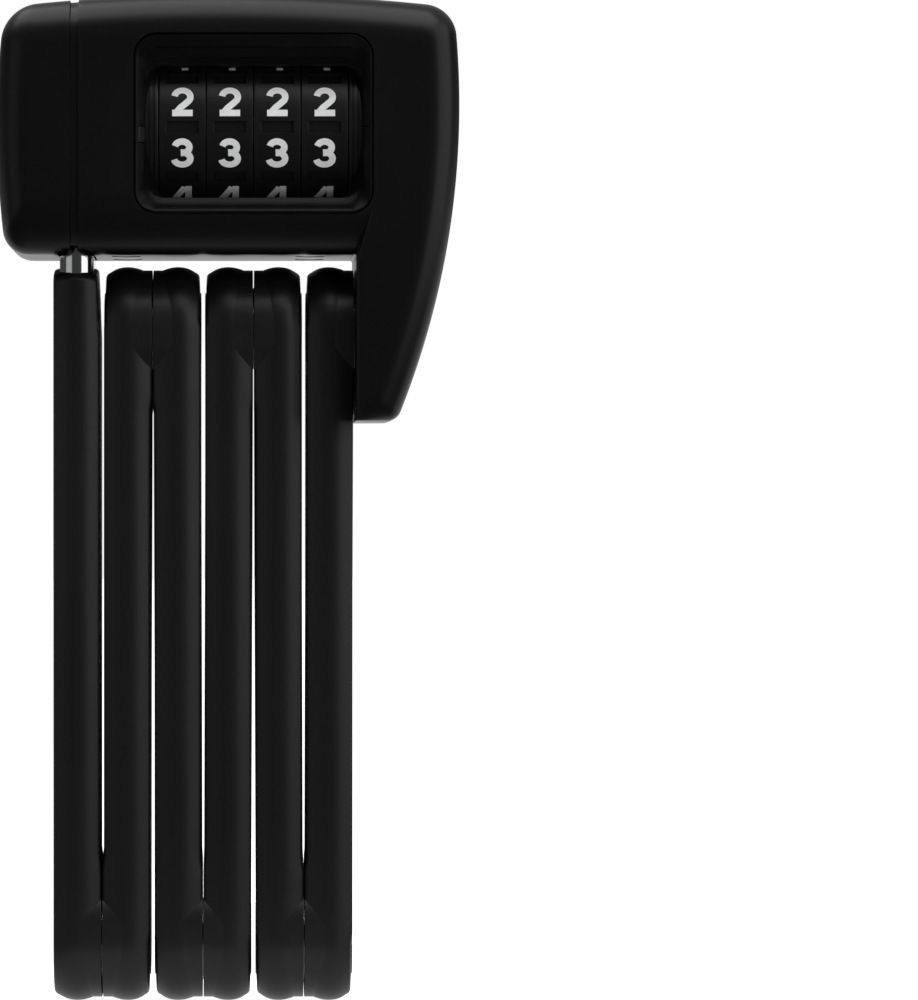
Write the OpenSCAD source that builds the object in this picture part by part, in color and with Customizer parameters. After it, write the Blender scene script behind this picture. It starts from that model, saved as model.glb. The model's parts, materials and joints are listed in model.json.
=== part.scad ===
// Folding lock: six jacketed steel bars on rivets, and a housing with a four-wheel code lock.
// Millimetres. X runs across the stack of bars, Y is the depth with the front at -Y, Z is up.
// The origin is under the middle of the folded lock.

/* [Bars] */
// Distance between the two pivots of a bar
pivot_spacing = 90; // [75:1:120]
// Width of a bar over its jacket
bar_w = 18.2; // [17.6:0.1:22]
// Thickness of a bar over its flat sides
bar_t = 6.75; // [6.2:0.05:8.5]
// Radius of the crowned front and rear edges of a jacket
crown_r = 5; // [4.5:0.1:6]
// Thickness of a bar's steel core
core_t = 5; // [4:0.1:5.2]
// Width of a bar's steel core
core_w = 16; // [14:0.1:16.4]
// Radius of the raised disc round a pivot
boss_r = 8.6; // [7.5:0.1:8.8]
// Height of the raised disc round a pivot
boss_h = 0.25; // [0.15:0.05:0.4]
// Radius at which the slope round that disc meets the flat side
skirt_r = 12; // [10:0.5:14]
// Gap between two raised discs that face each other
pivot_seam = 0.15; // [0.1:0.05:0.4]

/* [Rivets] */
// Radius of a rivet's shaft
rivet_r = 3.5; // [2.5:0.1:4]
// Radius of a rivet's head
rivet_head_r = 5; // [4.6:0.1:5.6]
// Thickness of a rivet's head
rivet_head_t = 0.5; // [0.3:0.05:0.6]
// Radius of the washer between two cores
washer_r = 6; // [5:0.1:6.5]
// Thickness of the cap over a rivet's head
cap_t = 0.25; // [0.15:0.05:0.3]
// Radial gap of a core on its rivet
rivet_gap = 0.05; // [0.02:0.01:0.1]

/* [Tongue] */
// Height of the tongue above the middle of the code wheels
tongue_above = 3.7; // [3.2:0.1:6]
// Radius of the corners of the tongue's tip
tip_r = 3; // [1:0.1:6]
// Radius of the latch hole in the tongue
latch_hole_r = 2.5; // [2.3:0.1:3.5]
// Gap round the tongue in its socket
tongue_gap = 0.3; // [0.2:0.05:0.6]

/* [Housing] */
// Distance from the tongue's middle to the housing's left end
left_margin = 11.5; // [10:0.1:14]
// Width of the leg that carries the bars
leg_w = 15.125; // [13.5:0.1:20]
// Length of the leg below its pivot
leg_drop = 13.8; // [12:0.1:20]
// Gap between the tops of the bars and the housing
top_gap = 1.35; // [0.8:0.05:3]
// Height of the housing under the code wheels
under_wheels = 6.55; // [6:0.05:10]
// Height of the housing over the code wheels
over_wheels = 7.1; // [5:0.05:12]
// Depth of the code wheels behind the front face
wheel_recess = 2.3; // [2.2:0.05:4]
// Wall of the shells and the end cap
wall = 1.8; // [1.2:0.05:2]
// Radius of the top's arc
top_arc_r = 280; // [150:5:600]
// Radius of the left end's arc
left_arc_r = 134; // [80:1:300]
// Radius of the right side's arc
right_arc_r = 121; // [110:1:200]
// Radius of the corner between the top and the left end
left_corner_r = 6; // [3:0.1:8]
// Radius of the corner between the top and the right side
right_corner_r = 5; // [3:0.1:8]
// Radius of the lower left corner
low_corner_r = 3.7; // [2.6:0.1:6]
// Radius of the leg's lower corner
leg_corner_r = 2.2; // [2:0.1:3]
// Radius of the front and rear edges along the top
top_edge_r = 5; // [3:0.1:7]
// Radius of the front and rear edges along the underside
low_edge_r = 8; // [4:0.1:8.5]
// Radius of the front and rear edges at the two ends
end_edge_r = 4; // [2.5:0.1:6]
// Width of the groove beside the end cap
groove_w = 1.25; // [0.8:0.05:2]
// Depth of that groove
groove_d = 0.3; // [0.1:0.05:0.5]

/* [Code wheels] */
// Number of code wheels
wheel_count = 4; // [4]
// Radius of a code wheel
wheel_r = 12.2; // [11:0.1:15]
// Width of a code wheel
wheel_w = 6.75; // [6.5:0.05:8.2]
// Gap between two code wheels
wheel_seam = 0.15; // [0.1:0.05:0.3]
// Width of the fixed collar at each end of the row
collar_w = 1.8; // [1:0.1:3]
// Distance from the tongue's middle to the middle of the row
tongue_to_row = 25.9; // [25.5:0.1:28]
// Width of a finger pocket
pocket_w = 4.9; // [3:0.1:5.5]
// Depth of a finger pocket
pocket_d = 0.55; // [0.2:0.05:0.8]
// Angle that a finger pocket spans
pocket_span = 10; // [6:0.5:14]
// Angle of the first finger pocket above the level
pocket_start = -1.5; // [-18:0.5:18]

/* [Window] */
// Width of the frame at each end of the window
frame_side = 1.7; // [1.2:0.1:2.5]
// Height of the window's frame
frame_h = 26; // [23:0.1:27]
// Height of the window's frame above the wheels' middle
frame_up = 0.1; // [-0.5:0.1:0.5]
// Radius of the frame's corners
frame_r = 3.2; // [1:0.1:4]
// Height of the part of the wheels that shows
opening_h = 19; // [16:0.1:20]
// Height of that part's middle below the wheels' middle
opening_down = 1; // [0:0.1:1.5]
// Depth of the frame
frame_d = 5; // [3.5:0.1:5.2]
// Depth of the frame's outer step
step_d = 1.4; // [0.8:0.1:1.8]

/* [Latch] */
// Radius of the latch spindle
spindle_r = 2; // [1.6:0.1:2.1]
// Running gap of the latch spindle
spindle_gap = 0.1; // [0.05:0.01:0.1]
// Travel of the latch spindle
latch_travel = 2.4; // [2.2:0.05:2.5]
// Gap between the nose and the tongue when the lock is open
nose_gap = 0.3; // [0.2:0.05:0.5]
// Radius of a code hub
hub_r = 6.5; // [6:0.1:7.5]
// Wall of a code hub
hub_wall = 1.6; // [1.2:0.1:1.8]
// Thickness of a hub's web and of a spindle fin
web_t = 0.9; // [0.8:0.05:1]
// Gap between a fin and a web at both ends of the travel
web_gap = 0.3; // [0.2:0.05:0.35]
// Width of a fin
fin_w = 2.4; // [1.5:0.1:3]
// Travel of the key that sets the code
key_travel = 0.8; // [0.5:0.1:1.2]

/* [Hidden] */
BARS = 6;
$fn = 64;

// Places along X
bar_pitch = bar_t + 2 * boss_h + pivot_seam;
body_w = left_margin + (BARS - 1) * bar_pitch + bar_t / 2 + boss_h + pivot_seam + leg_w;
tongue_x = left_margin - body_w / 2;
leg_x = body_w / 2 - leg_w;
wheel_pitch = wheel_w + wheel_seam;
row_w = wheel_count * wheel_pitch + 2 * collar_w;
row_x = tongue_x + tongue_to_row;
row_left = row_x - row_w / 2;
row_right = row_x + row_w / 2;
guide_wall = 1.4;
guide_w = core_t + 2 * tongue_gap + 2 * guide_wall;
guide_right = tongue_x + guide_w / 2;
cap_x = tongue_x - 0.8;

// Places along Z
bar_r = bar_w / 2;
low_pivot_z = bar_r;
high_pivot_z = bar_r + pivot_spacing;
body_z = high_pivot_z + bar_r + top_gap;
wheel_z = body_z + under_wheels + wheel_r;
body_top = wheel_z + wheel_r + over_wheels;
leg_z = high_pivot_z - leg_drop;
tongue_z = wheel_z + tongue_above;

// Depth
body_d = 2 * (wheel_r + wheel_recess);
seat = 0.02;   // joint between pieces of the housing that lie face to face
slack = 0.15;  // gap between the shells and what they hold
past = 1;      // how far a cut runs past the face that it opens

function bar_x(k) = tongue_x + (k - 1) * bar_pitch;
function wheel_x(k) = row_left + collar_w + (k - 1) * wheel_pitch + wheel_seam / 2;
// A bar's lower pivot joins it to the next bar when its number is odd, and to the one before when even.
function joint_z(k) = k % 2 == 1 ? low_pivot_z : high_pivot_z;

// Points on an arc about c, from one angle to the other; the ends are left out when ends is 0.
function arc(c, r, from, to, steps, ends = 1) =
  [for (i = [1 - ends:steps - 1 + ends]) let (a = from + (to - from) * i / steps) c + r * [cos(a), sin(a)]];
// Direction of point p seen from c, between 0 and 360 when wrap is 1.
function toward(c, p, wrap = 0) =
  let (a = atan2(p[1] - c[1], p[0] - c[0])) wrap == 1 && a < 0 ? a + 360 : a;
// Meeting point of two circles; side picks which of the two.
function meet(a, ra, b, rb, side) =
  let (
    d = norm(b - a),
    u = (b - a) / d,
    t = (ra * ra - rb * rb + d * d) / (2 * d),
    h = sqrt(ra * ra - t * t)
  )
  a + t * u + side * h * [-u[1], u[0]];

// Circles that the housing's outline follows, seen from the front
right_c = [body_w / 2 - right_arc_r, wheel_z + 3.1];
left_c = [left_arc_r - body_w / 2, wheel_z];
top_c = [0, body_top - top_arc_r];
right_corner_c = meet(right_c, right_arc_r - right_corner_r, top_c, top_arc_r - right_corner_r, 1);
left_corner_c = meet(left_c, left_arc_r - left_corner_r, top_c, top_arc_r - left_corner_r, -1);
low_rise = body_z + low_corner_r - left_c[1];
low_corner_c = [left_c[0] - sqrt(pow(left_arc_r - low_corner_r, 2) - pow(low_rise, 2)), body_z + low_corner_r];
leg_rise = leg_z + leg_corner_r - right_c[1];
leg_corner_c = [right_c[0] + sqrt(pow(right_arc_r - leg_corner_r, 2) - pow(leg_rise, 2)), leg_z + leg_corner_r];

// The outline of housing and leg, moved inwards by w
function outline(w) = concat(
  arc(leg_corner_c, max(leg_corner_r - w, 0.05), -90, toward(right_c, leg_corner_c), 4),
  arc(right_c, right_arc_r - w, toward(right_c, leg_corner_c), toward(right_c, right_corner_c), 14, 0),
  arc(right_corner_c, right_corner_r - w, toward(right_c, right_corner_c), toward(top_c, right_corner_c), 8),
  arc(top_c, top_arc_r - w, toward(top_c, right_corner_c), toward(top_c, left_corner_c), 8, 0),
  arc(left_corner_c, left_corner_r - w, toward(top_c, left_corner_c), toward(left_c, left_corner_c, 1), 8),
  arc(left_c, left_arc_r - w, toward(left_c, left_corner_c, 1), toward(left_c, low_corner_c, 1), 6, 0),
  arc(low_corner_c, low_corner_r - w, toward(left_c, low_corner_c, 1), 270, 6),
  [[leg_x + w, body_z + w], [leg_x + w, leg_z + w]]
);

// A rectangle from low to high whose lower and upper corners have their own radii
function rounded(low, high, r_low, r_high, steps = 6) = concat(
  arc([high[0] - r_low, low[1] + r_low], r_low, -90, 0, steps),
  arc([high[0] - r_high, high[1] - r_high], r_high, 0, 90, steps),
  arc([low[0] + r_high, high[1] - r_high], r_high, 90, 180, steps),
  arc([low[0] + r_low, low[1] + r_low], r_low, 180, 270, steps)
);

// Extrudes a YZ outline along X
module along_x(from, to) translate([from, 0, 0]) rotate([90, 0, 90]) linear_extrude(to - from) children();
// Extrudes an XZ outline along Y
module along_y(from, to) translate([0, to, 0]) rotate([90, 0, 0]) linear_extrude(to - from) children();
// A round bar along X at the given height
module rod(from, to, r, z) translate([from, 0, z]) rotate([0, 90, 0]) cylinder(h = to - from, r = r);
// A box from its low corner to its high corner
module block(low, high) translate(low) cube(high - low);

// The housing's outer form, moved inwards by w
module body_form(w) {
  half = body_d / 2 - w;
  intersection() {
    along_y(-body_d, body_d) polygon(outline(w));
    union() {
      along_x(-body_w, body_w)
        polygon(rounded([-half, body_z + w], [half, body_top + past], low_edge_r - w, 0.5));
      along_x(leg_x, body_w)
        polygon(rounded([-half, leg_z + w], [half, body_z + low_edge_r + past], top_edge_r - w, 0.5));
    }
    along_x(-body_w, body_w) polygon(rounded([-half, leg_z - past], [half, body_top - w], 0.5, top_edge_r - w));
    translate([0, 0, leg_z - 2 * past])
      linear_extrude(body_top - leg_z + 4 * past)
        polygon(rounded([-body_w / 2 - 0.05 + w, -half], [body_w / 2 + 0.05 - w, half],
                        end_edge_r - w, end_edge_r - w));
  }
}

// The form with the shallow groove that runs round it beside the end cap
module grooved_form() {
  difference() {
    body_form(0);
    difference() {
      block([cap_x, -body_d, leg_z - past], [cap_x + groove_w, body_d, body_top + past]);
      body_form(groove_d);
    }
  }
}

// What both shells and the end cap leave open: the inside, the mouth of the socket and the leg pivot
module shell_openings() {
  body_form(wall);
  block([tongue_x - guide_w / 2 - seat, -guide_d / 2 - seat, body_z - past],
        [guide_right + seat, guide_d / 2 + seat, body_z + 2 * wall]);
  rod(leg_x - past, leg_x + wall + past, washer_r + 0.2, high_pivot_z);
}

// Screw places on the underside
screw_x = [(guide_right + row_left) / 2, row_x + 8.3];
screw_y = 4.6;
screw_r = 1.2;
screw_head_r = 2.1;
screw_head_t = 1.2;
screw_post_r = 2.6;
module screw_places() {
  for (x = screw_x, y = [-screw_y, screw_y]) translate([x, y, body_z]) children();
}

module shell(front) {
  side = front ? -1 : 1;
  difference() {
    intersection() {
      grooved_form();
      block([cap_x, min(0, side * body_d), leg_z - past], [body_w, max(0, side * body_d), body_top + past]);
    }
    shell_openings();
    screw_places() translate([0, 0, -past]) cylinder(h = past + wall + past, r = screw_r + 0.1);
    screw_places() translate([0, 0, -past]) cylinder(h = past + screw_head_t, r = screw_head_r + 0.1);
    if (front) {
      along_y(-body_d / 2 - past, -body_d / 2 + wall + past) polygon(frame_outline(-seat));
      key_room();
    }
  }
}

module front_shell() color([0.07, 0.07, 0.075]) shell(true);
module rear_shell() color([0.07, 0.07, 0.075]) shell(false);

module end_cap() color([0.08, 0.08, 0.085]) {
  difference() {
    intersection() {
      body_form(0);
      block([-body_w, -body_d, leg_z - past], [cap_x - seat, body_d, body_top + past]);
    }
    shell_openings();
  }
}

// The window's frame
frame_z = wheel_z + frame_up;
opening_z = wheel_z - opening_down;
function frame_outline(w) = rounded(
  [row_left - frame_side + w, frame_z - frame_h / 2 + w], [row_right + frame_side - w, frame_z + frame_h / 2 - w],
  frame_r - w, frame_r - w);
module window_frame() color([0.1, 0.1, 0.105]) {
  front = -body_d / 2;
  difference() {
    along_y(front + 0.1, front + frame_d) polygon(frame_outline(0));
    block([row_left - seat / 2, front - past, opening_z - opening_h / 2],
          [row_right + seat / 2, front + frame_d + past, opening_z + opening_h / 2]);
    block([row_left - seat / 2, front - past, opening_z - opening_h / 2 - 1.2],
          [row_right + seat / 2, front + step_d, opening_z + opening_h / 2 + 3.4]);
    rod(row_left - frame_side - past, row_right + frame_side + past, wheel_r + 0.3, wheel_z);
    key_room();
  }
  // the two end walls beside the collars
  for (x = [row_left - frame_side / 2, row_right + 0.05])
    block([x, front + 0.1, opening_z - opening_h / 2 - 1.2],
          [x + frame_side / 2 - 0.05, front + wheel_recess, opening_z - opening_h / 2 - 0.6]);
}

// The collars that close the row of wheels at both ends, keyed to the chassis
module wheel_collars() color([0.09, 0.09, 0.095]) {
  for (x = [row_left, row_right - collar_w])
    difference() {
      rod(x + seat, x + collar_w - seat, wheel_r, wheel_z);
      rod(x - past, x + collar_w + past, spindle_r + spindle_gap + 0.4, wheel_z);
    }
}

// One code wheel: a ring with ten pockets between its ten digits
module code_wheel(k) color([0.1, 0.1, 0.105]) {
  difference() {
    rod(wheel_x(k), wheel_x(k) + wheel_w, wheel_r, wheel_z);
    rod(wheel_x(k) - past, wheel_x(k) + wheel_w + past, hub_r + 0.05, wheel_z);
    for (i = [0:9])
      translate([wheel_x(k) + wheel_w / 2, 0, wheel_z])
        rotate([-(pocket_start + 36 * i), 0, 0])
          translate([-pocket_w / 2, -wheel_r - past, -wheel_r * sin(pocket_span / 2)])
            cube([pocket_w, past + pocket_d, 2 * wheel_r * sin(pocket_span / 2)]);
  }
}

// The hub inside a wheel: a sleeve with a web whose gate lets one spindle fin pass
hub_in = hub_r - hub_wall;
web_x = (wheel_w - web_t) / 2 - 0.3;
module code_hub(k) color([0.72, 0.6, 0.32]) {
  x = wheel_x(k);
  difference() {
    rod(x, x + wheel_w, hub_r, wheel_z);
    rod(x - past, x + web_x, hub_in, wheel_z);
    rod(x + web_x + web_t, x + wheel_w + past, hub_in, wheel_z);
    rod(x - past, x + wheel_w + past, spindle_r + spindle_gap, wheel_z);
    block([x + web_x - past, -fin_w / 2 - 0.3, wheel_z],
          [x + web_x + web_t + past, fin_w / 2 + 0.3, wheel_z + hub_in]);
  }
}

// The latch spindle: its nose enters the tongue, and one fin per hub passes through the gates
nose_x = tongue_x + core_t / 2 + nose_gap;
wall_right = row_right + 3;
shoulder_x = wall_right + latch_travel + 0.3;
shoulder_w = 1.2;
spring_w = 4;
tail_x = shoulder_x + shoulder_w + spring_w - 0.3;
module latch_spindle() color([0.75, 0.75, 0.77]) {
  rod(nose_x, tail_x, spindle_r, wheel_z);
  rod(shoulder_x, shoulder_x + shoulder_w, spindle_r + 1.6, wheel_z);
  for (k = [1:wheel_count])
    intersection() {
      rod(wheel_x(k), wheel_x(k) + wheel_w, hub_in - 0.4, wheel_z);
      block([wheel_x(k) + web_x + web_t + web_gap, -fin_w / 2, wheel_z],
            [wheel_x(k) + web_x + 2 * web_t + web_gap, fin_w / 2, wheel_z + wheel_r]);
    }
}

// The spring that pushes the spindle towards the tongue
spring_wire = 0.3;
spring_coil_r = 2.95;
spring_turns = 3.5;
module latch_spring() color([0.8, 0.8, 0.82]) {
  rings = 56;
  from = shoulder_x + shoulder_w + spring_wire + 0.1;
  run = spring_w - 2 * spring_wire - 0.2;
  points = [
    for (i = [0:rings], j = [0:7])
      let (a = 360 * spring_turns * i / rings, r = spring_coil_r + spring_wire * cos(45 * j))
        [from + run * i / rings + spring_wire * sin(45 * j), r * cos(a), wheel_z + r * sin(a)]
  ];
  faces = concat(
    [[for (j = [0:7]) j]],
    [for (i = [0:rings - 1], j = [0:7])
      [i * 8 + j, (i + 1) * 8 + j, (i + 1) * 8 + (j + 1) % 8, i * 8 + (j + 1) % 8]],
    [[for (j = [7:-1:0]) rings * 8 + j]]
  );
  polyhedron(points, faces);
}

// The chassis: a cast frame that fills the housing round the wheels, the leg plate and the guide
guide_d = core_w + 2 * tongue_gap + 2 * guide_wall;
guide_top = tongue_z + 2.2;
plate_t = 4;
plate_x = leg_x + wall + 0.2;
plate_r = core_w / 2 - 1;
plate_top = wheel_z - spindle_r - 4.6;
floor_t = 1.5;
floor_top = body_z + wall + slack + floor_t;
module chassis() color([0.5, 0.5, 0.52]) {
  spring_room = spring_coil_r + spring_wire + 0.5;
  difference() {
    intersection() {
      body_form(wall + slack);
      union() {
        block([guide_right + seat, -body_d, body_z], [row_left, body_d, body_top]);
        block([row_right, -body_d, body_z], [body_w, body_d, body_top]);
        block([guide_right + seat, -body_d, body_z], [body_w, body_d, floor_top]);
        screw_places() cylinder(h = under_wheels - 0.5, r = screw_post_r);
      }
    }
    block([-body_w, -body_d, leg_z - past], [body_w, body_d, body_z + wall + slack / 2]);
    rod(row_left - wheel_r, row_right, spindle_r + spindle_gap, wheel_z);
    rod(row_left + past, row_right - past, wheel_r + 0.4, wheel_z);
    rod(row_right - past, body_w, spindle_r + spindle_gap, wheel_z);
    rod(wall_right, shoulder_x + shoulder_w + spring_w, spring_room, wheel_z);
    along_y(-body_d, -body_d / 2 + frame_d + slack) polygon(frame_outline(-slack));
    block([plate_x - seat, -plate_r - seat, leg_z - past],
          [plate_x + plate_t + seat, plate_r + seat, plate_top + seat]);
    screw_places() cylinder(h = under_wheels - 1, r = screw_r + 0.05);
    key_room();
  }
}

// The steel guide that lines the tongue's socket
module socket_guide() color([0.45, 0.45, 0.47]) {
  difference() {
    block([tongue_x - guide_w / 2, -guide_d / 2, body_z], [guide_right, guide_d / 2, guide_top]);
    block([tongue_x - core_t / 2 - tongue_gap, -core_w / 2 - tongue_gap, body_z - past],
          [tongue_x + core_t / 2 + tongue_gap, core_w / 2 + tongue_gap, tongue_z + 0.6]);
    rod(tongue_x, guide_right + past, spindle_r + spindle_gap, wheel_z);
  }
}

// The steel plate in the leg that carries the whole chain of bars
module leg_plate() color([0.6, 0.6, 0.62]) {
  difference() {
    union() {
      block([plate_x, -plate_r, high_pivot_z], [plate_x + plate_t, plate_r, plate_top]);
      rod(plate_x, plate_x + plate_t, plate_r, high_pivot_z);
    }
    rod(plate_x - past, plate_x + plate_t + past, rivet_r + rivet_gap, high_pivot_z);
  }
}

// A rivet through two plates: its shaft and a head outside each of them
module rivet(left, right, z) color([0.7, 0.7, 0.72]) {
  rod(left - rivet_gap, right + rivet_gap, rivet_r, z);
  rod(left - rivet_gap - rivet_head_t, left - rivet_gap, rivet_head_r, z);
  rod(right + rivet_gap, right + rivet_gap + rivet_head_t, rivet_head_r, z);
}
// The washer between those two plates
module washer(left, right, z) color([0.65, 0.65, 0.6]) {
  difference() {
    rod(left + 0.05, right - 0.05, washer_r, z);
    rod(left - past, right + past, rivet_r + rivet_gap, z);
  }
}

module leg_rivet() rivet(bar_x(BARS) - core_t / 2, plate_x + plate_t, high_pivot_z);
module leg_washer() washer(bar_x(BARS) + core_t / 2, plate_x, high_pivot_z);
module bar_rivet(k) rivet(bar_x(k) - core_t / 2, bar_x(k + 1) + core_t / 2, joint_z(k));
module bar_washer(k) washer(bar_x(k) + core_t / 2, bar_x(k + 1) - core_t / 2, joint_z(k));

// The leaf spring under the wheels, with one finger for each
leaf_t = 0.4;
finger_w = 4.4;
leaf_half = screw_y - screw_post_r - 0.1;
module detent_spring() color([0.78, 0.78, 0.8]) {
  low = floor_top + seat;
  high = wheel_z - wheel_r - 0.3;
  difference() {
    block([row_left + collar_w, -leaf_half, low], [row_right - collar_w, leaf_half, low + leaf_t]);
    for (k = [1:wheel_count - 1])
      block([wheel_x(k) + wheel_w - 1, -past, low - past], [wheel_x(k) + wheel_w + 1, past, low + past]);
  }
  for (k = [1:wheel_count])
    along_x(wheel_x(k) + (wheel_w - finger_w) / 2, wheel_x(k) + (wheel_w + finger_w) / 2)
      polygon([[leaf_half, low + leaf_t / 2], [leaf_half, low + leaf_t], [0.3, high], [-0.6, high], [-1.6, high - 0.9],
               [-1.3, high - 1.2], [-0.45, high - leaf_t], [0.1, high - leaf_t], [leaf_half - 0.6, low + leaf_t / 2]]);
}

module shell_screws() color([0.55, 0.55, 0.57]) {
  screw_places() {
    translate([0, 0, 0.1]) cylinder(h = screw_head_t - 0.1, r = screw_head_r);
    translate([0, 0, screw_head_t / 2]) cylinder(h = under_wheels - 2, r = screw_r);
  }
}

// The small key in the window's left end that frees the hubs for a new code
key_y = -body_d / 2 + 0.6;
key_d = 1.3;
key_h = 2.3;
key_top = wheel_z - 0.3;
key_len = 2.6;
module code_set_key() color([0.14, 0.14, 0.145]) {
  block([row_left - 0.05 - key_len, key_y, key_top - key_h], [row_left - 0.05, key_y + key_d, key_top]);
}
module key_room() {
  block([row_left - key_len - key_travel - 0.3, key_y - 0.1, key_top - key_h - 0.1],
        [row_left + seat, key_y + key_d + 0.1, key_top + 0.1]);
}

// The outline of a core, seen from the side, at its own thickness less the given gap
module core_form(k, gap) {
  t = core_t / 2 + gap;
  r = core_w / 2 + gap;
  rod(bar_x(k) - t, bar_x(k) + t, r, low_pivot_z);
  block([bar_x(k) - t, -r, low_pivot_z], [bar_x(k) + t, r, high_pivot_z]);
  if (k > 1)
    rod(bar_x(k) - t, bar_x(k) + t, r, high_pivot_z);
  else
    translate([bar_x(k), 0, high_pivot_z]) linear_extrude(tongue_z - high_pivot_z - tip_r) tongue_section(gap);
}

// The tongue's cross-section: a strip whose two edges are half round
module tongue_section(gap) {
  t = core_t + 2 * gap;
  square([t, core_w - core_t], center = true);
  for (y = [-1, 1] * (core_w - core_t) / 2) translate([0, y]) circle(r = t / 2);
}

// The tip above that section, with its two corners rounded
module tongue_tip() {
  intersection() {
    translate([bar_x(1), 0, tongue_z - tip_r - 1]) linear_extrude(tip_r + 1) tongue_section(0);
    along_x(bar_x(1) - core_t, bar_x(1) + core_t)
      polygon(rounded([-core_w / 2 - 0.02, high_pivot_z], [core_w / 2 + 0.02, tongue_z], 0.5, tip_r, 8));
  }
}

module bar_core(k) color([0.62, 0.62, 0.64]) {
  difference() {
    union() {
      core_form(k, 0);
      if (k == 1) tongue_tip();
    }
    rod(bar_x(k) - core_t, bar_x(k) + core_t, rivet_r + rivet_gap, low_pivot_z);
    if (k > 1)
      rod(bar_x(k) - core_t, bar_x(k) + core_t, rivet_r + rivet_gap, high_pivot_z);
    else
      rod(bar_x(k) - core_t, bar_x(k) + core_t, latch_hole_r, wheel_z);
  }
}

// Half the crowned section of a jacket: across the bar from its middle, and through its thickness
jacket_top = high_pivot_z + bar_r + 0.2;
flat_half = bar_r - crown_r + sqrt(pow(crown_r, 2) - pow(bar_t / 2, 2));
crown_span = asin(bar_t / 2 / crown_r);
crown_section = concat(
  [[0, -bar_t / 2]],
  arc([bar_r - crown_r, 0], crown_r, -crown_span, crown_span, 8),
  [[0, bar_t / 2]]
);
module crowned(k) {
  top = k > 1 ? high_pivot_z : jacket_top;
  translate([bar_x(k), 0, low_pivot_z]) linear_extrude(top - low_pivot_z)
    polygon(concat([for (p = crown_section) if (p[0] > 0) [p[1], p[0]]],
                   [for (p = crown_section) if (p[0] > 0) [-p[1], -p[0]]]));
  for (z = k > 1 ? [low_pivot_z, high_pivot_z] : [low_pivot_z])
    translate([bar_x(k), 0, z]) rotate([0, 90, 0]) rotate_extrude() polygon(crown_section);
}

// The raised disc round a pivot and its slope towards the bar's middle; side is 1 on the right
module boss(k, z, side) {
  face = bar_x(k) + side * bar_t / 2;
  disc = bar_x(k) + side * (bar_t / 2 + boss_h);
  inward = z < pivot_spacing / 2 ? [z, z + skirt_r] : [z - skirt_r, z];
  rod(min(bar_x(k), disc), max(bar_x(k), disc), boss_r, z);
  intersection() {
    translate([face, 0, z]) rotate([0, 90 * side, 0]) translate([0, 0, -past]) {
      cylinder(h = past, r = skirt_r);
      translate([0, 0, past]) cylinder(h = boss_h, r1 = skirt_r, r2 = boss_r);
    }
    block([face - 2 * past, 0.1 - flat_half, inward[0]], [face + 2 * past, flat_half - 0.1, inward[1]]);
  }
}

module bar_jacket(k) color([0.08, 0.08, 0.085]) {
  right_z = joint_z(k);
  left_z = joint_z(k + 1);
  half = bar_t / 2 + boss_h + past;
  difference() {
    union() {
      crowned(k);
      boss(k, right_z, 1);
      if (k > 1) boss(k, left_z, -1);
    }
    core_form(k, 0.05);
    rod(bar_x(k), bar_x(k) + half, washer_r + 0.1, right_z);
    rod(bar_x(k) - half, bar_x(k), rivet_head_r + 0.3, right_z);
    if (k > 1) {
      rod(bar_x(k) - half, bar_x(k), washer_r + 0.1, left_z);
      rod(bar_x(k), bar_x(k) + half, rivet_head_r + 0.3, left_z);
    }
  }
}

// The thin caps that close a jacket over the rivet heads
module rivet_caps(k) color([0.11, 0.11, 0.115]) {
  r = rivet_head_r + 0.25;
  rod(bar_x(k) - bar_t / 2, bar_x(k) - bar_t / 2 + cap_t, r, joint_z(k));
  if (k > 1) rod(bar_x(k) + bar_t / 2 - cap_t, bar_x(k) + bar_t / 2, r, joint_z(k + 1));
}

front_shell();
rear_shell();
end_cap();
window_frame();
wheel_collars();
chassis();
socket_guide();
leg_plate();
leg_rivet();
leg_washer();
detent_spring();
latch_spring();
shell_screws();
latch_spindle();
code_set_key();
for (k = [1:wheel_count]) {
  code_wheel(k);
  code_hub(k);
}
for (k = [1:BARS]) {
  bar_core(k);
  bar_jacket(k);
  rivet_caps(k);
}
for (k = [1:BARS - 1]) {
  bar_rivet(k);
  bar_washer(k);
}
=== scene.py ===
"""Folding lock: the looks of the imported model, built round its frame."""

import json
import logging
import math
from dataclasses import dataclass, field
from enum import Enum
from typing import Sequence

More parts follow.
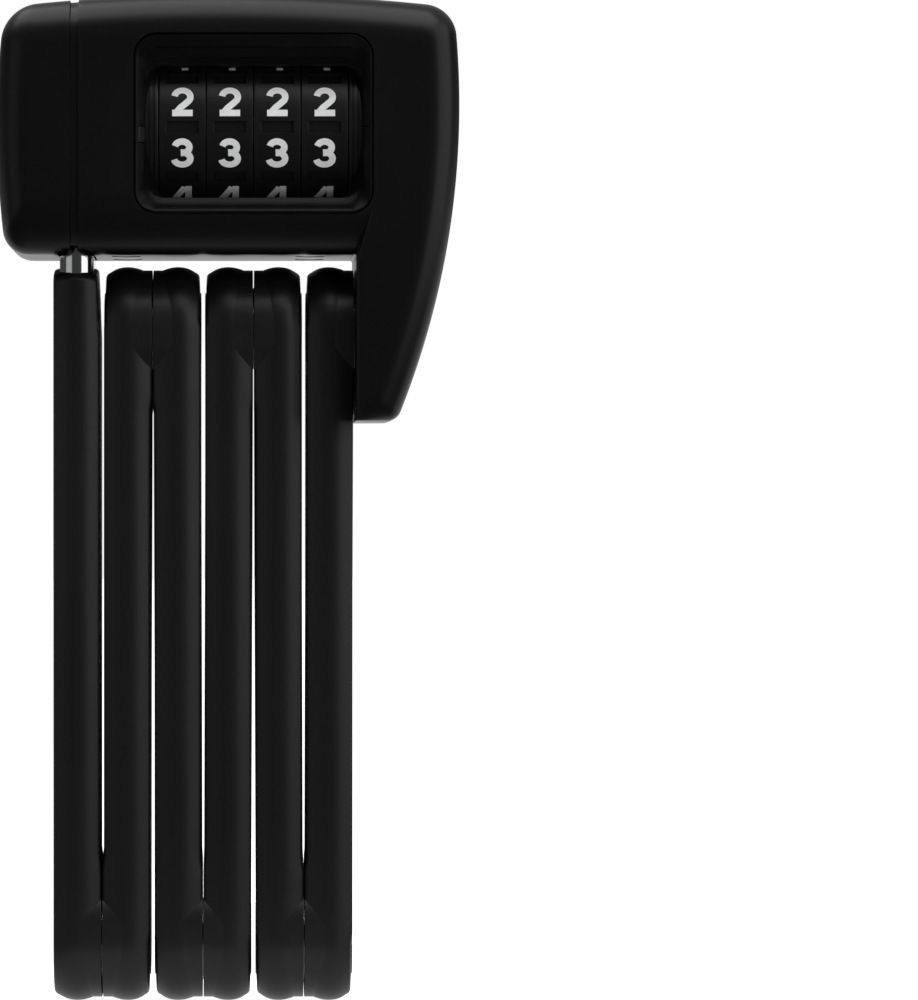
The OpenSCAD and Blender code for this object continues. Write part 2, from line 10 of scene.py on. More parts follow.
import bmesh
import bpy
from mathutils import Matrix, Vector

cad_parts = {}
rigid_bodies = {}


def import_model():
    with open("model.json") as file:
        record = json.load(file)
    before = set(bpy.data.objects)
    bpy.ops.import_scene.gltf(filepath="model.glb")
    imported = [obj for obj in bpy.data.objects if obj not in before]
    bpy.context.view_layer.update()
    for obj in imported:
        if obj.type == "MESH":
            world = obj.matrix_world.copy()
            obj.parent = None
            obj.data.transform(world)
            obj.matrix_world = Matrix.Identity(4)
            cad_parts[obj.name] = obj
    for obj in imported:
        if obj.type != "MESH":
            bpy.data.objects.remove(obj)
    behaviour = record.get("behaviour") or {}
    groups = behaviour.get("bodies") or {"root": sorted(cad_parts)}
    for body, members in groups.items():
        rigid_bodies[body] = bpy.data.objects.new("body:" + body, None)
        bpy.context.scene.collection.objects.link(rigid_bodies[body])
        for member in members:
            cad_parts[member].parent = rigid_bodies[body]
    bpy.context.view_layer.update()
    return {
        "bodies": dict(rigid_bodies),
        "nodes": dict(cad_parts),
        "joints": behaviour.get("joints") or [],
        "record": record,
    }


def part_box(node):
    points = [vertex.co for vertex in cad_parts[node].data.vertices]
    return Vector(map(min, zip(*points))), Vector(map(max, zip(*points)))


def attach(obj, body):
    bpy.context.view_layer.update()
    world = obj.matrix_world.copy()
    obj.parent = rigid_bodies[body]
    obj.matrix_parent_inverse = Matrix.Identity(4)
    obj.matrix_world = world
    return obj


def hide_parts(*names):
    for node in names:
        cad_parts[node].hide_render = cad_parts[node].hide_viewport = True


MM = 0.001
LOG = logging.getLogger("folding_lock")
Point = tuple[float, float, float]
Flat = tuple[float, float]


# ---------------------------------------------------------------- shader maths


class Graph:
    """A material's node tree, with one method that makes any node."""

    def __init__(self, material: bpy.types.Material) -> None:
        """Empties the tree and adds a Principled shader.

        Args:
            material: the material to fill.
        """
        material.use_nodes = True
        self.tree = material.node_tree
        self.tree.nodes.clear()
        self.shader = self.tree.nodes.new("ShaderNodeBsdfPrincipled")
        self.output = self.tree.nodes.new("ShaderNodeOutputMaterial")
        self.tree.links.new(self.shader.outputs[0], self.output.inputs[0])

    @classmethod
    def of(cls, tree: bpy.types.NodeTree) -> "Graph":
        """A graph on a tree that already has its shader."""
        graph = cls.__new__(cls)
        graph.tree = tree
        return graph

    def node(self, kind: str, settings: dict | None = None, inputs: dict | None = None, out: int | str = 0) -> "Wire":
        """Adds one node.

        Args:
            kind: the node's type name.
            settings: attributes set first; "ramp" holds a ramp's stops.
            inputs: socket name or index to a value or a Wire.
            out: the output that the returned wire stands for.

        Returns:
            A wire on that output.
        """
        made = self.tree.nodes.new(kind)
        for key, value in (settings or {}).items():
            if key == "ramp":
                self._stops(made.color_ramp, value)
            else:
                setattr(made, key, value)
        for key, value in (inputs or {}).items():
            self.feed(made.inputs[key], value)
        return Wire(self, made.outputs[out])

    def _stops(self, ramp: bpy.types.ColorRamp, stops: Sequence[tuple[float, float]]) -> None:
        """Sets a grey ramp's stops."""
        while len(ramp.elements) < len(stops):
            ramp.elements.new(0.5)
        for element, (place, grey) in zip(ramp.elements, stops):
            element.position = place
            element.color = (grey, grey, grey, 1)

    def feed(self, socket: bpy.types.NodeSocket, value: object) -> None:
        """Links a wire to a socket, or sets its value."""
        if isinstance(value, Wire):
            self.tree.links.new(value.socket, socket)
        else:
            socket.default_value = value

    def place(self) -> "Wire":
        """The object coordinates, in metres."""
        return self.node("ShaderNodeTexCoord", out="Object")

    def noise(self, scale: float, detail: float = 3.0, rough: float = 0.55, vector: "Wire | None" = None) -> "Wire":
        """Noise over the object's own coordinates."""
        inputs = {"Scale": scale, "Detail": detail, "Roughness": rough, "Vector": vector or self.place()}
        return self.node("ShaderNodeTexNoise", {}, inputs, "Fac")

    def ramp(self, fac: "Wire", *stops: tuple[float, float]) -> "Wire":
        """A grey ramp over fac."""
        return self.node("ShaderNodeValToRGB", {"ramp": stops}, {"Fac": fac})

    def mix(self, fac: "Wire | float", low: object, high: object) -> "Wire":
        """Mixes two colours."""
        return self.node("ShaderNodeMix", {"data_type": "RGBA"}, {0: fac, 6: low, 7: high}, 2)

    def edges(self, low: float, high: float) -> "Wire":
        """1 on convex edges and 0 elsewhere."""
        point = self.node("ShaderNodeNewGeometry", out="Pointiness")
        return self.ramp(point, (low, 0.0), (high, 1.0))

    def bump(self, height: "Wire", strength: float, distance: float) -> None:
        """Feeds the shader's normal from a height."""
        made = self.node("ShaderNodeBump", {}, {"Height": height, "Strength": strength, "Distance": distance})
        self.feed(self.shader.inputs["Normal"], made)

    def set(self, **sockets: object) -> None:
        """Sets or links the shader's sockets; an underscore stands for a space."""
        for name, value in sockets.items():
            self.feed(self.shader.inputs[name.replace("_", " ")], value)


class Wire:
    """A socket that Python's operators work on."""

    def __init__(self, graph: Graph, socket: bpy.types.NodeSocket) -> None:
        """Wraps a socket of the graph."""
        self.graph, self.socket = graph, socket

    def _math(self, operation: str, first: object, second: object) -> "Wire":
        """One Math node on two values."""
        return self.graph.node("ShaderNodeMath", {"operation": operation}, {0: first, 1: second})

    def __add__(self, other: object) -> "Wire":
        """self + other"""
        return self._math("ADD", self, other)

    def __sub__(self, other: object) -> "Wire":
        """self - other"""
        return self._math("SUBTRACT", self, other)

    def __rsub__(self, other: object) -> "Wire":
        """other - self"""
        return self._math("SUBTRACT", other, self)

    def __mul__(self, other: object) -> "Wire":
        """self * other"""
        return self._math("MULTIPLY", self, other)

    __radd__, __rmul__ = __add__, __mul__


def rgba(colour: Sequence[float], gain: float = 1.0) -> tuple[float, float, float, float]:
    """A colour times a gain, with full alpha."""
    return (colour[0] * gain, colour[1] * gain, colour[2] * gain, 1.0)


@dataclass(frozen=True)
class Moulded:
    """Moulded plastic: a fine spark-eroded grain, soft patches, and edges rubbed brighter."""

    name: str
    slot: str
    colour: tuple[float, float, float] = (0.0040, 0.0041, 0.0042)
    rough: float = 0.31
    spread: float = 0.1
    grain_size: float = 0.22
    grain: float = 0.12
    rub: float = 1.9
    gloss: float = 0.27

    def make(self) -> bpy.types.Material:
        """Builds the material.

        Returns:
            The finished material.
        """
        material = bpy.data.materials.new(self.name)
        g = Graph(material)
        cloud = g.noise(45.0, 4.0)
        smear = g.noise(160.0, 3.0, 0.6)
        grain = g.noise(1.0 / (self.grain_size * MM), 2.0, 0.6)
        worn = g.edges(0.515, 0.60) * g.ramp(smear, (0.35, 0.25), (0.65, 1.0))
        base = g.mix(cloud, rgba(self.colour, 0.88), rgba(self.colour, 1.14))
        dust = g.ramp(g.noise(900.0, 2.0), (0.66, 0.0), (0.8, 0.22))
        base = g.mix(dust, base, rgba(self.colour, 1.7))
        base = g.mix(worn, base, rgba(self.colour, self.rub))
        g.set(Base_Color=base, Specular_IOR_Level=self.gloss)
        g.set(Roughness=(cloud - 0.5) * self.spread + (smear - 0.5) * (self.spread * 0.8) + self.rough - worn * 0.05)
        g.bump(grain, self.grain, 0.05 * MM)
        return material


@dataclass(frozen=True)
class Steel:
    """Bare metal: long polishing lines, faint blotches and a little dulling."""

    name: str
    slot: str
    colour: tuple[float, float, float] = (0.62, 0.63, 0.65)
    rough: float = 0.16
    spread: float = 0.08
    line_size: float = 0.12
    lines: float = 0.06
    stretch: tuple[float, float, float] = (1.0, 1.0, 0.04)

    def make(self) -> bpy.types.Material:
        """Builds the material.

        Returns:
            The finished material.
        """
        material = bpy.data.materials.new(self.name)
        g = Graph(material)
        long_way = g.node("ShaderNodeMapping", {}, {"Vector": g.place(), "Scale": self.stretch})
        lines = g.noise(1.0 / (self.line_size * MM), 3.0, 0.6, long_way)
        blotch = g.noise(120.0, 4.0, 0.6)
        stain = g.ramp(g.noise(320.0, 5.0, 0.7), (0.6, 0.0), (0.82, 0.5))
        base = g.mix(blotch, rgba(self.colour, 0.9), rgba(self.colour, 1.06))
        base = g.mix(stain, base, rgba(self.colour, 0.72))
        g.set(Base_Color=base, Metallic=1.0)
        g.set(Roughness=(lines - 0.5) * self.spread + (blotch - 0.5) * self.spread + stain * 0.08 + self.rough)
        g.bump(lines, self.lines, 0.02 * MM)
        return material


@dataclass(frozen=True)
class Paint:
    """The pale filling of a digit: slightly uneven, with small darker flecks."""

    name: str
    slot: str
    colour: tuple[float, float, float] = (0.78, 0.79, 0.79)
    rough: float = 0.5

    def make(self) -> bpy.types.Material:
        """Builds the material.

        Returns:
            The finished material.
        """
        material = bpy.data.materials.new(self.name)
        g = Graph(material)
        patch = g.noise(700.0, 4.0, 0.6)
        fleck = g.ramp(g.noise(2600.0, 3.0, 0.7), (0.62, 0.0), (0.74, 0.6))
        base = g.mix(patch, rgba(self.colour, 0.84), rgba(self.colour, 1.08))
        base = g.mix(fleck, base, rgba(self.colour, 0.55))
        g.set(Base_Color=base, Roughness=(patch - 0.5) * 0.2 + self.rough)
        g.bump(patch, 0.2, 0.03 * MM)
        return material


class Finish(Enum):
    """Every finish on the lock."""

    HOUSING = Moulded("housing_black", "housing_plastic", gloss=0.19)
    # Painted shade: the window frame is the housing plastic set a quarter darker and duller, so the recess round the
    # window reads shaded.
    FRAME = Moulded("frame_black_painted_shade", "housing_plastic", colour=(0.003, 0.0031, 0.0034), rough=0.36, grain=0.06,
                    gloss=0.08)
    JACKET = Moulded("jacket_black", "bar_plastic", colour=(0.0072, 0.0073, 0.0074), rough=0.4, grain_size=0.3)
    CAP = Moulded("cap_black", "bar_plastic", colour=(0.006, 0.0061, 0.0064), rough=0.38, grain=0.2)
    WHEEL = Moulded("wheel_black", "wheel_plastic", colour=(0.0068, 0.0069, 0.0073), rough=0.36, grain_size=0.15,
                    gloss=0.2)
    POCKET = Moulded("pocket_grey", "wheel_plastic", colour=(0.0068, 0.0068, 0.0074), rough=0.34, grain_size=0.15,
                     gloss=0.3)
    KEY = Moulded("key_grey", "key_plastic", colour=(0.006, 0.006, 0.0065), rough=0.32)
    DIGIT = Paint("digit_filling", "wheel_plastic")
    TONGUE = Steel("polished_bar_steel", "bar_steel", colour=(0.7, 0.71, 0.72), rough=0.13, spread=0.06)
    PLATE = Steel("plated_steel", "plate_steel", rough=0.3, spread=0.12, lines=0.15)
    CAST = Steel("cast_metal", "cast_metal", colour=(0.42, 0.43, 0.45), rough=0.45, spread=0.2, line_size=0.6,
                 lines=0.3, stretch=(1.0, 1.0, 1.0))
    SPRING = Steel("spring_steel", "spring_steel", colour=(0.55, 0.56, 0.57), rough=0.24)
    BRASS = Steel("turned_brass", "brass", colour=(0.7, 0.55, 0.28), rough=0.25, stretch=(0.04, 1.0, 1.0))

    def material(self) -> bpy.types.Material:
        """The finish's material, made the first time it is asked for."""
        return bpy.data.materials.get(self.value.name) or self.value.make()


# ---------------------------------------------------------------- modelling tools


class Bench:
    """Modelling moves made with Blender's own operators. Sizes go in as millimetres."""

    @staticmethod
    def alone(obj: bpy.types.Object) -> bpy.types.Object:
        """Selects one object and makes it active."""
        bpy.ops.object.select_all(action="DESELECT")
        obj.select_set(True)
        bpy.context.view_layer.objects.active = obj
        return obj

    @staticmethod
    def edit(obj: bpy.types.Object, mode: str = "VERT", whole: bool = False) -> bmesh.types.BMesh:
        """Opens an object in edit mode, with all or nothing selected.

        Args:
            obj: the object.
            mode: VERT, EDGE or FACE.
            whole: whether everything is selected.

        Returns:
            Its edit mesh.
        """
        Bench.alone(obj)
        bpy.ops.object.mode_set(mode="EDIT")
        bpy.ops.mesh.select_mode(type=mode)
        bpy.ops.mesh.select_all(action="SELECT" if whole else "DESELECT")
        return bmesh.from_edit_mesh(obj.data)

    @staticmethod
    def shut() -> None:
        """Leaves edit mode."""
        bpy.ops.object.mode_set(mode="OBJECT")

    @staticmethod
    def placed(name: str) -> bpy.types.Object:
        """Names the new primitive and puts its place into its mesh."""
        obj = bpy.context.active_object
        obj.name = obj.data.name = name
        bpy.ops.object.transform_apply(location=True, rotation=True, scale=True)
        return obj

    @staticmethod
    def loft(name: str, rings: Sequence[Sequence[Point]], caps: bool = True, around: bool = False) -> bpy.types.Object:
        """A skin through rings that have as many points each: a grid laid through them and welded along its seam.

        Args:
            name: the piece's name.
            rings: the rings, in order.
            caps: whether the first and last ring get a face.
            around: whether the skin runs on from the last ring to the first.

        Returns:
            The piece, with its faces outwards.
        """
        lines = [list(ring) + [ring[0]] for ring in rings] + ([list(rings[0]) + [rings[0][0]]] if around else [])
        bpy.ops.object.select_all(action="DESELECT")
        bpy.ops.mesh.primitive_grid_add(x_subdivisions=len(lines[0]) - 1, y_subdivisions=len(lines) - 1, size=MM)
        obj = bpy.context.active_object
        obj.name = obj.data.name = name
        obj.data.vertices.foreach_set("co", [c * MM for row in lines for p in row for c in p])
        Bench.edit(obj, whole=True)
        bpy.ops.mesh.remove_doubles(threshold=0.0002 * MM)
        if caps and not around:
            bpy.ops.mesh.select_all(action="SELECT")
            bpy.ops.mesh.fill_holes(sides=0)
        Bench.shut()
        Bench.outward(obj)
        return obj

    @staticmethod
    def outward(obj: bpy.types.Object) -> None:
        """Turns all faces outwards."""
        Bench.edit(obj, whole=True)
        bpy.ops.mesh.normals_make_consistent(inside=False)
        Bench.shut()

    @staticmethod
    def block(name: str, low: Point, high: Point) -> bpy.types.Object:
        """A box between two corners, with its place in its mesh.

        Args:
            name: its name.
            low: its lowest corner, in millimetres.
            high: its highest corner, in millimetres.

        Returns:
            The box.
        """
        bpy.ops.object.select_all(action="DESELECT")
        middle = [(a + b) / 2 * MM for a, b in zip(low, high)]
        size = [(b - a) * MM for a, b in zip(low, high)]
        bpy.ops.mesh.primitive_cube_add(size=1, location=middle, scale=size)
        return Bench.placed(name)

    @staticmethod
    def disc(name: str, middle: Point, radius: float, depth: float, axis: str = "X",
             sides: int = 96) -> bpy.types.Object:
        """A short cylinder, with its place in its mesh.

        Args:
            name: its name.
            middle: its middle, in millimetres.
            radius: its radius.
            depth: its length along the axis.
            axis: X or Z.
            sides: how many sides it has.

        Returns:
            The cylinder.
        """
        bpy.ops.object.select_all(action="DESELECT")
        turn = (0, math.pi / 2, 0) if axis == "X" else (0, 0, 0)
        bpy.ops.mesh.primitive_cylinder_add(vertices=sides, radius=radius * MM, depth=depth * MM,
                                            location=[c * MM for c in middle], rotation=turn)
        return Bench.placed(name)

    @staticmethod
    def modifier(obj: bpy.types.Object, kind: str, **settings: object) -> None:
        """Adds one modifier with the given settings and applies it."""
        Bench.alone(obj)
        made = obj.modifiers.new(kind.title(), kind)
        for key, value in settings.items():
            setattr(made, key, value)
        bpy.ops.object.modifier_apply(modifier=made.name)

    @staticmethod
    def bevel(obj: bpy.types.Object, width: float, angle: float = 35.0, segments: int = 2) -> None:
        """Rounds the edges sharper than an angle."""
        Bench.modifier(obj, "BEVEL", width=width * MM, segments=segments, limit_method="ANGLE",
                       angle_limit=math.radians(angle), use_clamp_overlap=True, harden_normals=False)

    @staticmethod
    def tidy(obj: bpy.types.Object, size: float) -> None:
        """Merges points and drops faces closer or narrower than a size."""
        Bench.edit(obj, whole=True)
        bpy.ops.mesh.remove_doubles(threshold=size * MM)
        bpy.ops.mesh.select_all(action="SELECT")
        bpy.ops.mesh.dissolve_degenerate(threshold=size * MM)
        Bench.shut()

    @staticmethod
    def cut(obj: bpy.types.Object, *cutters: bpy.types.Object) -> None:
        """Takes each cutter's volume away from a piece."""
        for cutter in cutters:
            Bench.modifier(obj, "BOOLEAN", operation="DIFFERENCE", object=cutter, solver="EXACT")

    @staticmethod
    def bisect(obj: bpy.types.Object, place: Point, normal: Point, fill: bool = False) -> None:
        """Cuts an object by a plane and clears the side that the normal points to."""
        Bench.edit(obj, whole=True)
        bpy.ops.mesh.bisect(plane_co=[c * MM for c in place], plane_no=normal, clear_outer=True, use_fill=fill)
        Bench.shut()

    @staticmethod
    def copy(obj: bpy.types.Object, name: str, shift: Point = (0, 0, 0)) -> bpy.types.Object:
        """A copy with its own mesh, moved in its mesh by a shift in millimetres."""
        made = obj.copy()
        made.data = obj.data.copy()
        made.name = made.data.name = name
        bpy.context.scene.collection.objects.link(made)
        for vertex in made.data.vertices:
            vertex.co += Vector(shift) * MM
        return made

    @staticmethod
    def twin(node: str, name: str) -> bpy.types.Object:
        """A free copy of a CAD node with its doubled vertices merged.

        Args:
            node: the CAD node.
            name: the copy's name.

        Returns:
            The copy.
        """
        bpy.ops.object.select_all(action="DESELECT")
        source = bpy.data.objects[node]
        matrix = source.matrix_world.copy()
        made = bpy.data.objects.new(name, source.data.copy())
        made.data.name = name
        made.data.transform(matrix)
        bpy.context.scene.collection.objects.link(made)
        Bench.edit(made, whole=True)
        bpy.ops.mesh.remove_doubles(threshold=0.002 * MM)
        bpy.ops.mesh.normals_make_consistent(inside=False)
        Bench.shut()
        return made

    @staticmethod
    def join(name: str, parts: Sequence[bpy.types.Object]) -> bpy.types.Object:
        """Joins pieces into one."""
        bpy.ops.object.select_all(action="DESELECT")
        for part in parts:
            part.select_set(True)
        bpy.context.view_layer.objects.active = parts[0]
        bpy.ops.object.join()
        parts[0].name = parts[0].data.name = name
        return parts[0]

    @staticmethod
    def remove(*objects: bpy.types.Object) -> None:
        """Deletes helpers."""
        for obj in objects:
            bpy.data.objects.remove(obj)

    @staticmethod
    def smooth(obj: bpy.types.Object, angle: float = 32.0) -> None:
        """Smooth shading except across edges sharper than an angle."""
        Bench.alone(obj)
        bpy.ops.object.shade_smooth_by_angle(angle=math.radians(angle))
        Bench.modifier(obj, "WEIGHTED_NORMAL", keep_sharp=True, weight=80)

    @staticmethod
    def dress(obj: bpy.types.Object, finish: Finish, body: str, *stands_for: str) -> bpy.types.Object:
        """Gives a piece its finish, its body and the CAD nodes it stands for.

        Args:
            obj: the piece.
            finish: its finish.
            body: the body that it rides on.
            stands_for: the CAD nodes that it replaces.

        Returns:
            The same piece.
        """
        if not obj.data.materials:
            obj.data.materials.append(finish.material())
        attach(obj, body)
        if stands_for:
            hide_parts(*stands_for)
        LOG.info("made %s on %s", obj.name, body)
        return obj


def arc(middle: Flat, radius: float, start: float, end: float, steps: int) -> list[Flat]:
    """Points on an arc, in degrees, without its last point.

    Args:
        middle: the arc's middle.
        radius: its radius.
        start: the angle of its first point.
        end: the angle of its last point.
        steps: how many parts it has.

    Returns:
        The points.
    """
    angles = [math.radians(start + (end - start) * i / steps) for i in range(steps)]
    return [(middle[0] + radius * math.cos(a), middle[1] + radius * math.sin(a)) for a in angles]


def line(start: Flat, end: Flat, steps: int) -> list[Flat]:
    """Points on a straight line, without its last point."""
    return [(start[0] + (end[0] - start[0]) * i / steps, start[1] + (end[1] - start[1]) * i / steps)
            for i in range(steps)]


def meet(first: Flat, radius_1: float, second: Flat, radius_2: float, side: float) -> Flat:
    """Where two circles meet; side is 1 or -1."""
    dx, dy = second[0] - first[0], second[1] - first[1]
    apart = math.hypot(dx, dy)
    along = (radius_1**2 - radius_2**2 + apart**2) / (2 * apart)
    off = math.sqrt(radius_1**2 - along**2) * side
    return (first[0] + (along * dx - off * dy) / apart, first[1] + (along * dy + off * dx) / apart)


def toward(start: Flat, end: Flat) -> float:
    """The direction from one point to another, from 0 to 360 degrees."""
    return math.degrees(math.atan2(end[1] - start[1], end[0] - start[0])) % 360


def rounded(low: Flat, high: Flat, radius: float, arc_steps: int = 8, side_steps: int = 10) -> list[Flat]:
    """A rectangle with round corners, as a ring of points."""
    (x0, z0), (x1, z1), r = low, high, radius
    return (
        arc((x1 - r, z0 + r), r, -90, 0, arc_steps) + line((x1, z0 + r), (x1, z1 - r), side_steps)
        + arc((x1 - r, z1 - r), r, 0, 90, arc_steps) + line((x1 - r, z1), (x0 + r, z1), side_steps)
        + arc((x0 + r, z1 - r), r, 90, 180, arc_steps) + line((x0, z1 - r), (x0, z0 + r), side_steps)
        + arc((x0 + r, z0 + r), r, 180, 270, arc_steps) + line((x0 + r, z0), (x1 - r, z0), side_steps)
    )


# ---------------------------------------------------------------- layout


@dataclass
class Layout:
    """Places that the frame gives, in millimetres."""

    low: Point = field(init=False)
    high: Point = field(init=False)
    wheels: list[float] = field(init=False)
    wheel_z: float = field(init=False)
    wheel_r: float = field(init=False)
    row: Flat = field(init=False)
    bars: list[float] = field(init=False)
    low_pivot: float = field(init=False)
    high_pivot: float = field(init=False)
    bar_r: float = field(init=False)
    bar_t: float = field(init=False)
    body_z: float = field(init=False)
    leg_x: float = field(init=False)
    leg_z: float = field(init=False)

    def __post_init__(self) -> None:
        """Reads every place from the frame."""
        box = lambda node: [[c / MM for c in corner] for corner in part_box(node)]
        shell, cap = box("front_shell"), box("end_cap")
        self.low = (cap[0][0], cap[0][1], cap[0][2])
        self.high = (shell[1][0], cap[1][1], max(shell[1][2], cap[1][2]))
        self.leg_z, self.body_z = shell[0][2], cap[0][2]
        wheels = [box(f"code_wheel_{k}") for k in range(1, 5)]
        self.wheels = [(w[0][0] + w[1][0]) / 2 for w in wheels]
        self.wheel_z = (wheels[0][0][2] + wheels[0][1][2]) / 2
        self.wheel_r = (wheels[0][1][2] - wheels[0][0][2]) / 2
        collars = box("wheel_collars")
        self.row = (collars[0][0], collars[1][0])
        cores = [box(f"bar_core_{k}") for k in range(1, 7)]
        self.bars = [(c[0][0] + c[1][0]) / 2 for c in cores]
        jacket, rivet = box("bar_jacket_3"), box("bar_rivet_1")
        self.bar_r = (jacket[1][1] - jacket[0][1]) / 2
        self.low_pivot = (rivet[0][2] + rivet[1][2]) / 2
        self.high_pivot = jacket[1][2] - self.bar_r
        caps = box("rivet_caps_3")
        self.bar_t = caps[1][0] - caps[0][0]
        self.leg_x = box("leg_plate")[0][0] - 2.0


# ---------------------------------------------------------------- housing


@dataclass
class Skin:
    """The housing's outline seen from the front, and how far each side of it rounds over."""

    at: Layout
    arcs: Flat = (134.0, 121.0)
    top_arc: float = 280.0
    corners: tuple[float, float, float, float] = (5.0, 6.0, 3.7, 2.2)
    face_corners: tuple[float, float, float, float] = (1.3, 1.8, 0.9, 0.7)
    rounds: tuple[float, float, float, float, float] = (4.2, 5.8, 4.2, 8.0, 3.2)
    depths: tuple[float, float, float, float, float] = (4.2, 5.2, 4.2, 5.0, 3.2)
    leg_edge: float = 0.55
    right_peak: float = 3.1

    def outline(self, right: float, top: float, left: float, bottom: float, inner: float, foot: float,
                corners: Sequence[float], bend: Sequence[Flat]) -> list[Flat]:
        """The outline with each side moved inwards by its own amount.

        Args:
            right: inset of the right side.
            top: inset of the top.
            left: inset of the left side.
            bottom: inset of the underside.
            inner: inset of the leg's inner side.
            foot: inset of the leg's lower end.
            corners: radii of the upper right, upper left, lower left and leg corners.
            bend: the points from the underside to the leg's inner side.

        Returns:
            The ring of points, always as many.
        """
        at = self.at
        reach_l, reach_r = self.arcs[0] - left, self.arcs[1] - right
        reach_t = self.top_arc - top
        mid_l = (at.low[0] + self.arcs[0], at.wheel_z)
        mid_r = (at.high[0] - self.arcs[1], at.wheel_z + self.right_peak)
        mid_t = (0.0, at.high[2] - self.top_arc)
        r_tr, r_tl, r_bl, r_leg = corners
        c_tr = meet(mid_r, reach_r - r_tr, mid_t, reach_t - r_tr, 1)
        c_tl = meet(mid_l, reach_l - r_tl, mid_t, reach_t - r_tl, -1)
        floor, foot_z = at.body_z + bottom, at.leg_z + foot
        rise = floor + r_bl - mid_l[1]
        c_bl = (mid_l[0] - math.sqrt((reach_l - r_bl) ** 2 - rise**2), floor + r_bl)
        rise = foot_z + r_leg - mid_r[1]
        c_leg = (mid_r[0] + math.sqrt((reach_r - r_leg) ** 2 - rise**2), foot_z + r_leg)
        a_leg, a_tr = toward(mid_r, c_leg) - 360, toward(mid_r, c_tr)
        a_tr2, a_tl = toward(mid_t, c_tr), toward(mid_t, c_tl)
        a_tl2, a_bl = toward(mid_l, c_tl), toward(mid_l, c_bl)
        return (
            arc(c_leg, r_leg, -90, a_leg, 8) + arc(mid_r, reach_r, a_leg, a_tr, 44)
            + arc(c_tr, r_tr, a_tr, a_tr2, 14) + arc(mid_t, reach_t, a_tr2, a_tl, 44)
            + arc(c_tl, r_tl, a_tl, a_tl2, 14) + arc(mid_l, reach_l, a_tl2, a_bl, 30)
            + arc(c_bl, r_bl, a_bl, 270, 10) + line((c_bl[0], floor), bend[0], 40)
            + list(bend[:-1]) + line(bend[-1], (at.leg_x + inner, foot_z), 20)
            + line((at.leg_x + inner, foot_z), (c_leg[0], foot_z), 5)
        )

    def rings(self, inset: float) -> list[list[Point]]:
        """The rings of the whole skin, from the front face to the rear face.

        Args:
            inset: how far the skin lies inside the housing's outer form.

        Returns:
            The rings.
        """
        at, w = self.at, inset
        right, top, left, bottom, foot = self.rounds
        steps = 10
        tight = 0.35
        inner_x = at.leg_x + w
        outer = self.outline(w, w, w, w, w, w, [c - w for c in self.corners],
                             arc((inner_x - tight, at.body_z + w - tight), tight, 90, 0, steps)
                             + [(inner_x, at.body_z + w - tight)])
        slope_top = (at.leg_x + 3.0, at.body_z + bottom)
        slope_end = (at.leg_x + self.leg_edge, at.body_z - 0.3)
        slope = line(slope_top, slope_end, steps) + [slope_end]
        face = self.outline(right, top, left, bottom, self.leg_edge, foot, self.face_corners, slope)
        inside = self.outline(right + 0.6, top + 0.6, left + 0.6, bottom + 0.6, self.leg_edge + 0.3,
                              foot + 0.6, [c - 0.3 for c in self.face_corners],
                              [(x + 0.35, z + 0.2) for x, z in slope])
        depth = self._depths(steps)
        front = at.low[1] + w
        result = [[(x, front, z) for x, z in inside]]
        turns = [90, 78, 66, 54, 42, 30, 20, 10, 0]
        for turn in turns:
            c, s = math.cos(math.radians(turn)), math.sin(math.radians(turn))
            result.append([
                (p[0] + (q[0] - p[0]) * (1 - c), front + r * (1 - s), p[1] + (q[1] - p[1]) * (1 - c))
                for p, q, r in zip(outer, face, depth)
            ])
        middle = at.low[1] + at.high[1]
        return result + [[(x, middle - y, z) for x, y, z in ring] for ring in reversed(result)]

    def _depths(self, steps: int) -> list[float]:
        """How deep each point of the outline rounds over."""
        right, top, left, bottom, foot = self.depths
        blend = lambda a, b, n: [a + (b - a) * i / n for i in range(n)]
        return (
            blend(foot, right, 8) + blend(right, right, 44) + blend(right, top, 14)
            + blend(top, top, 44) + blend(top, left, 14) + blend(left, left, 30)
            + blend(left, bottom, 10) + blend(bottom, bottom, 40) + blend(bottom, self.leg_edge, steps)
            + blend(self.leg_edge, self.leg_edge, 20) + blend(self.leg_edge, foot, 5)
        )


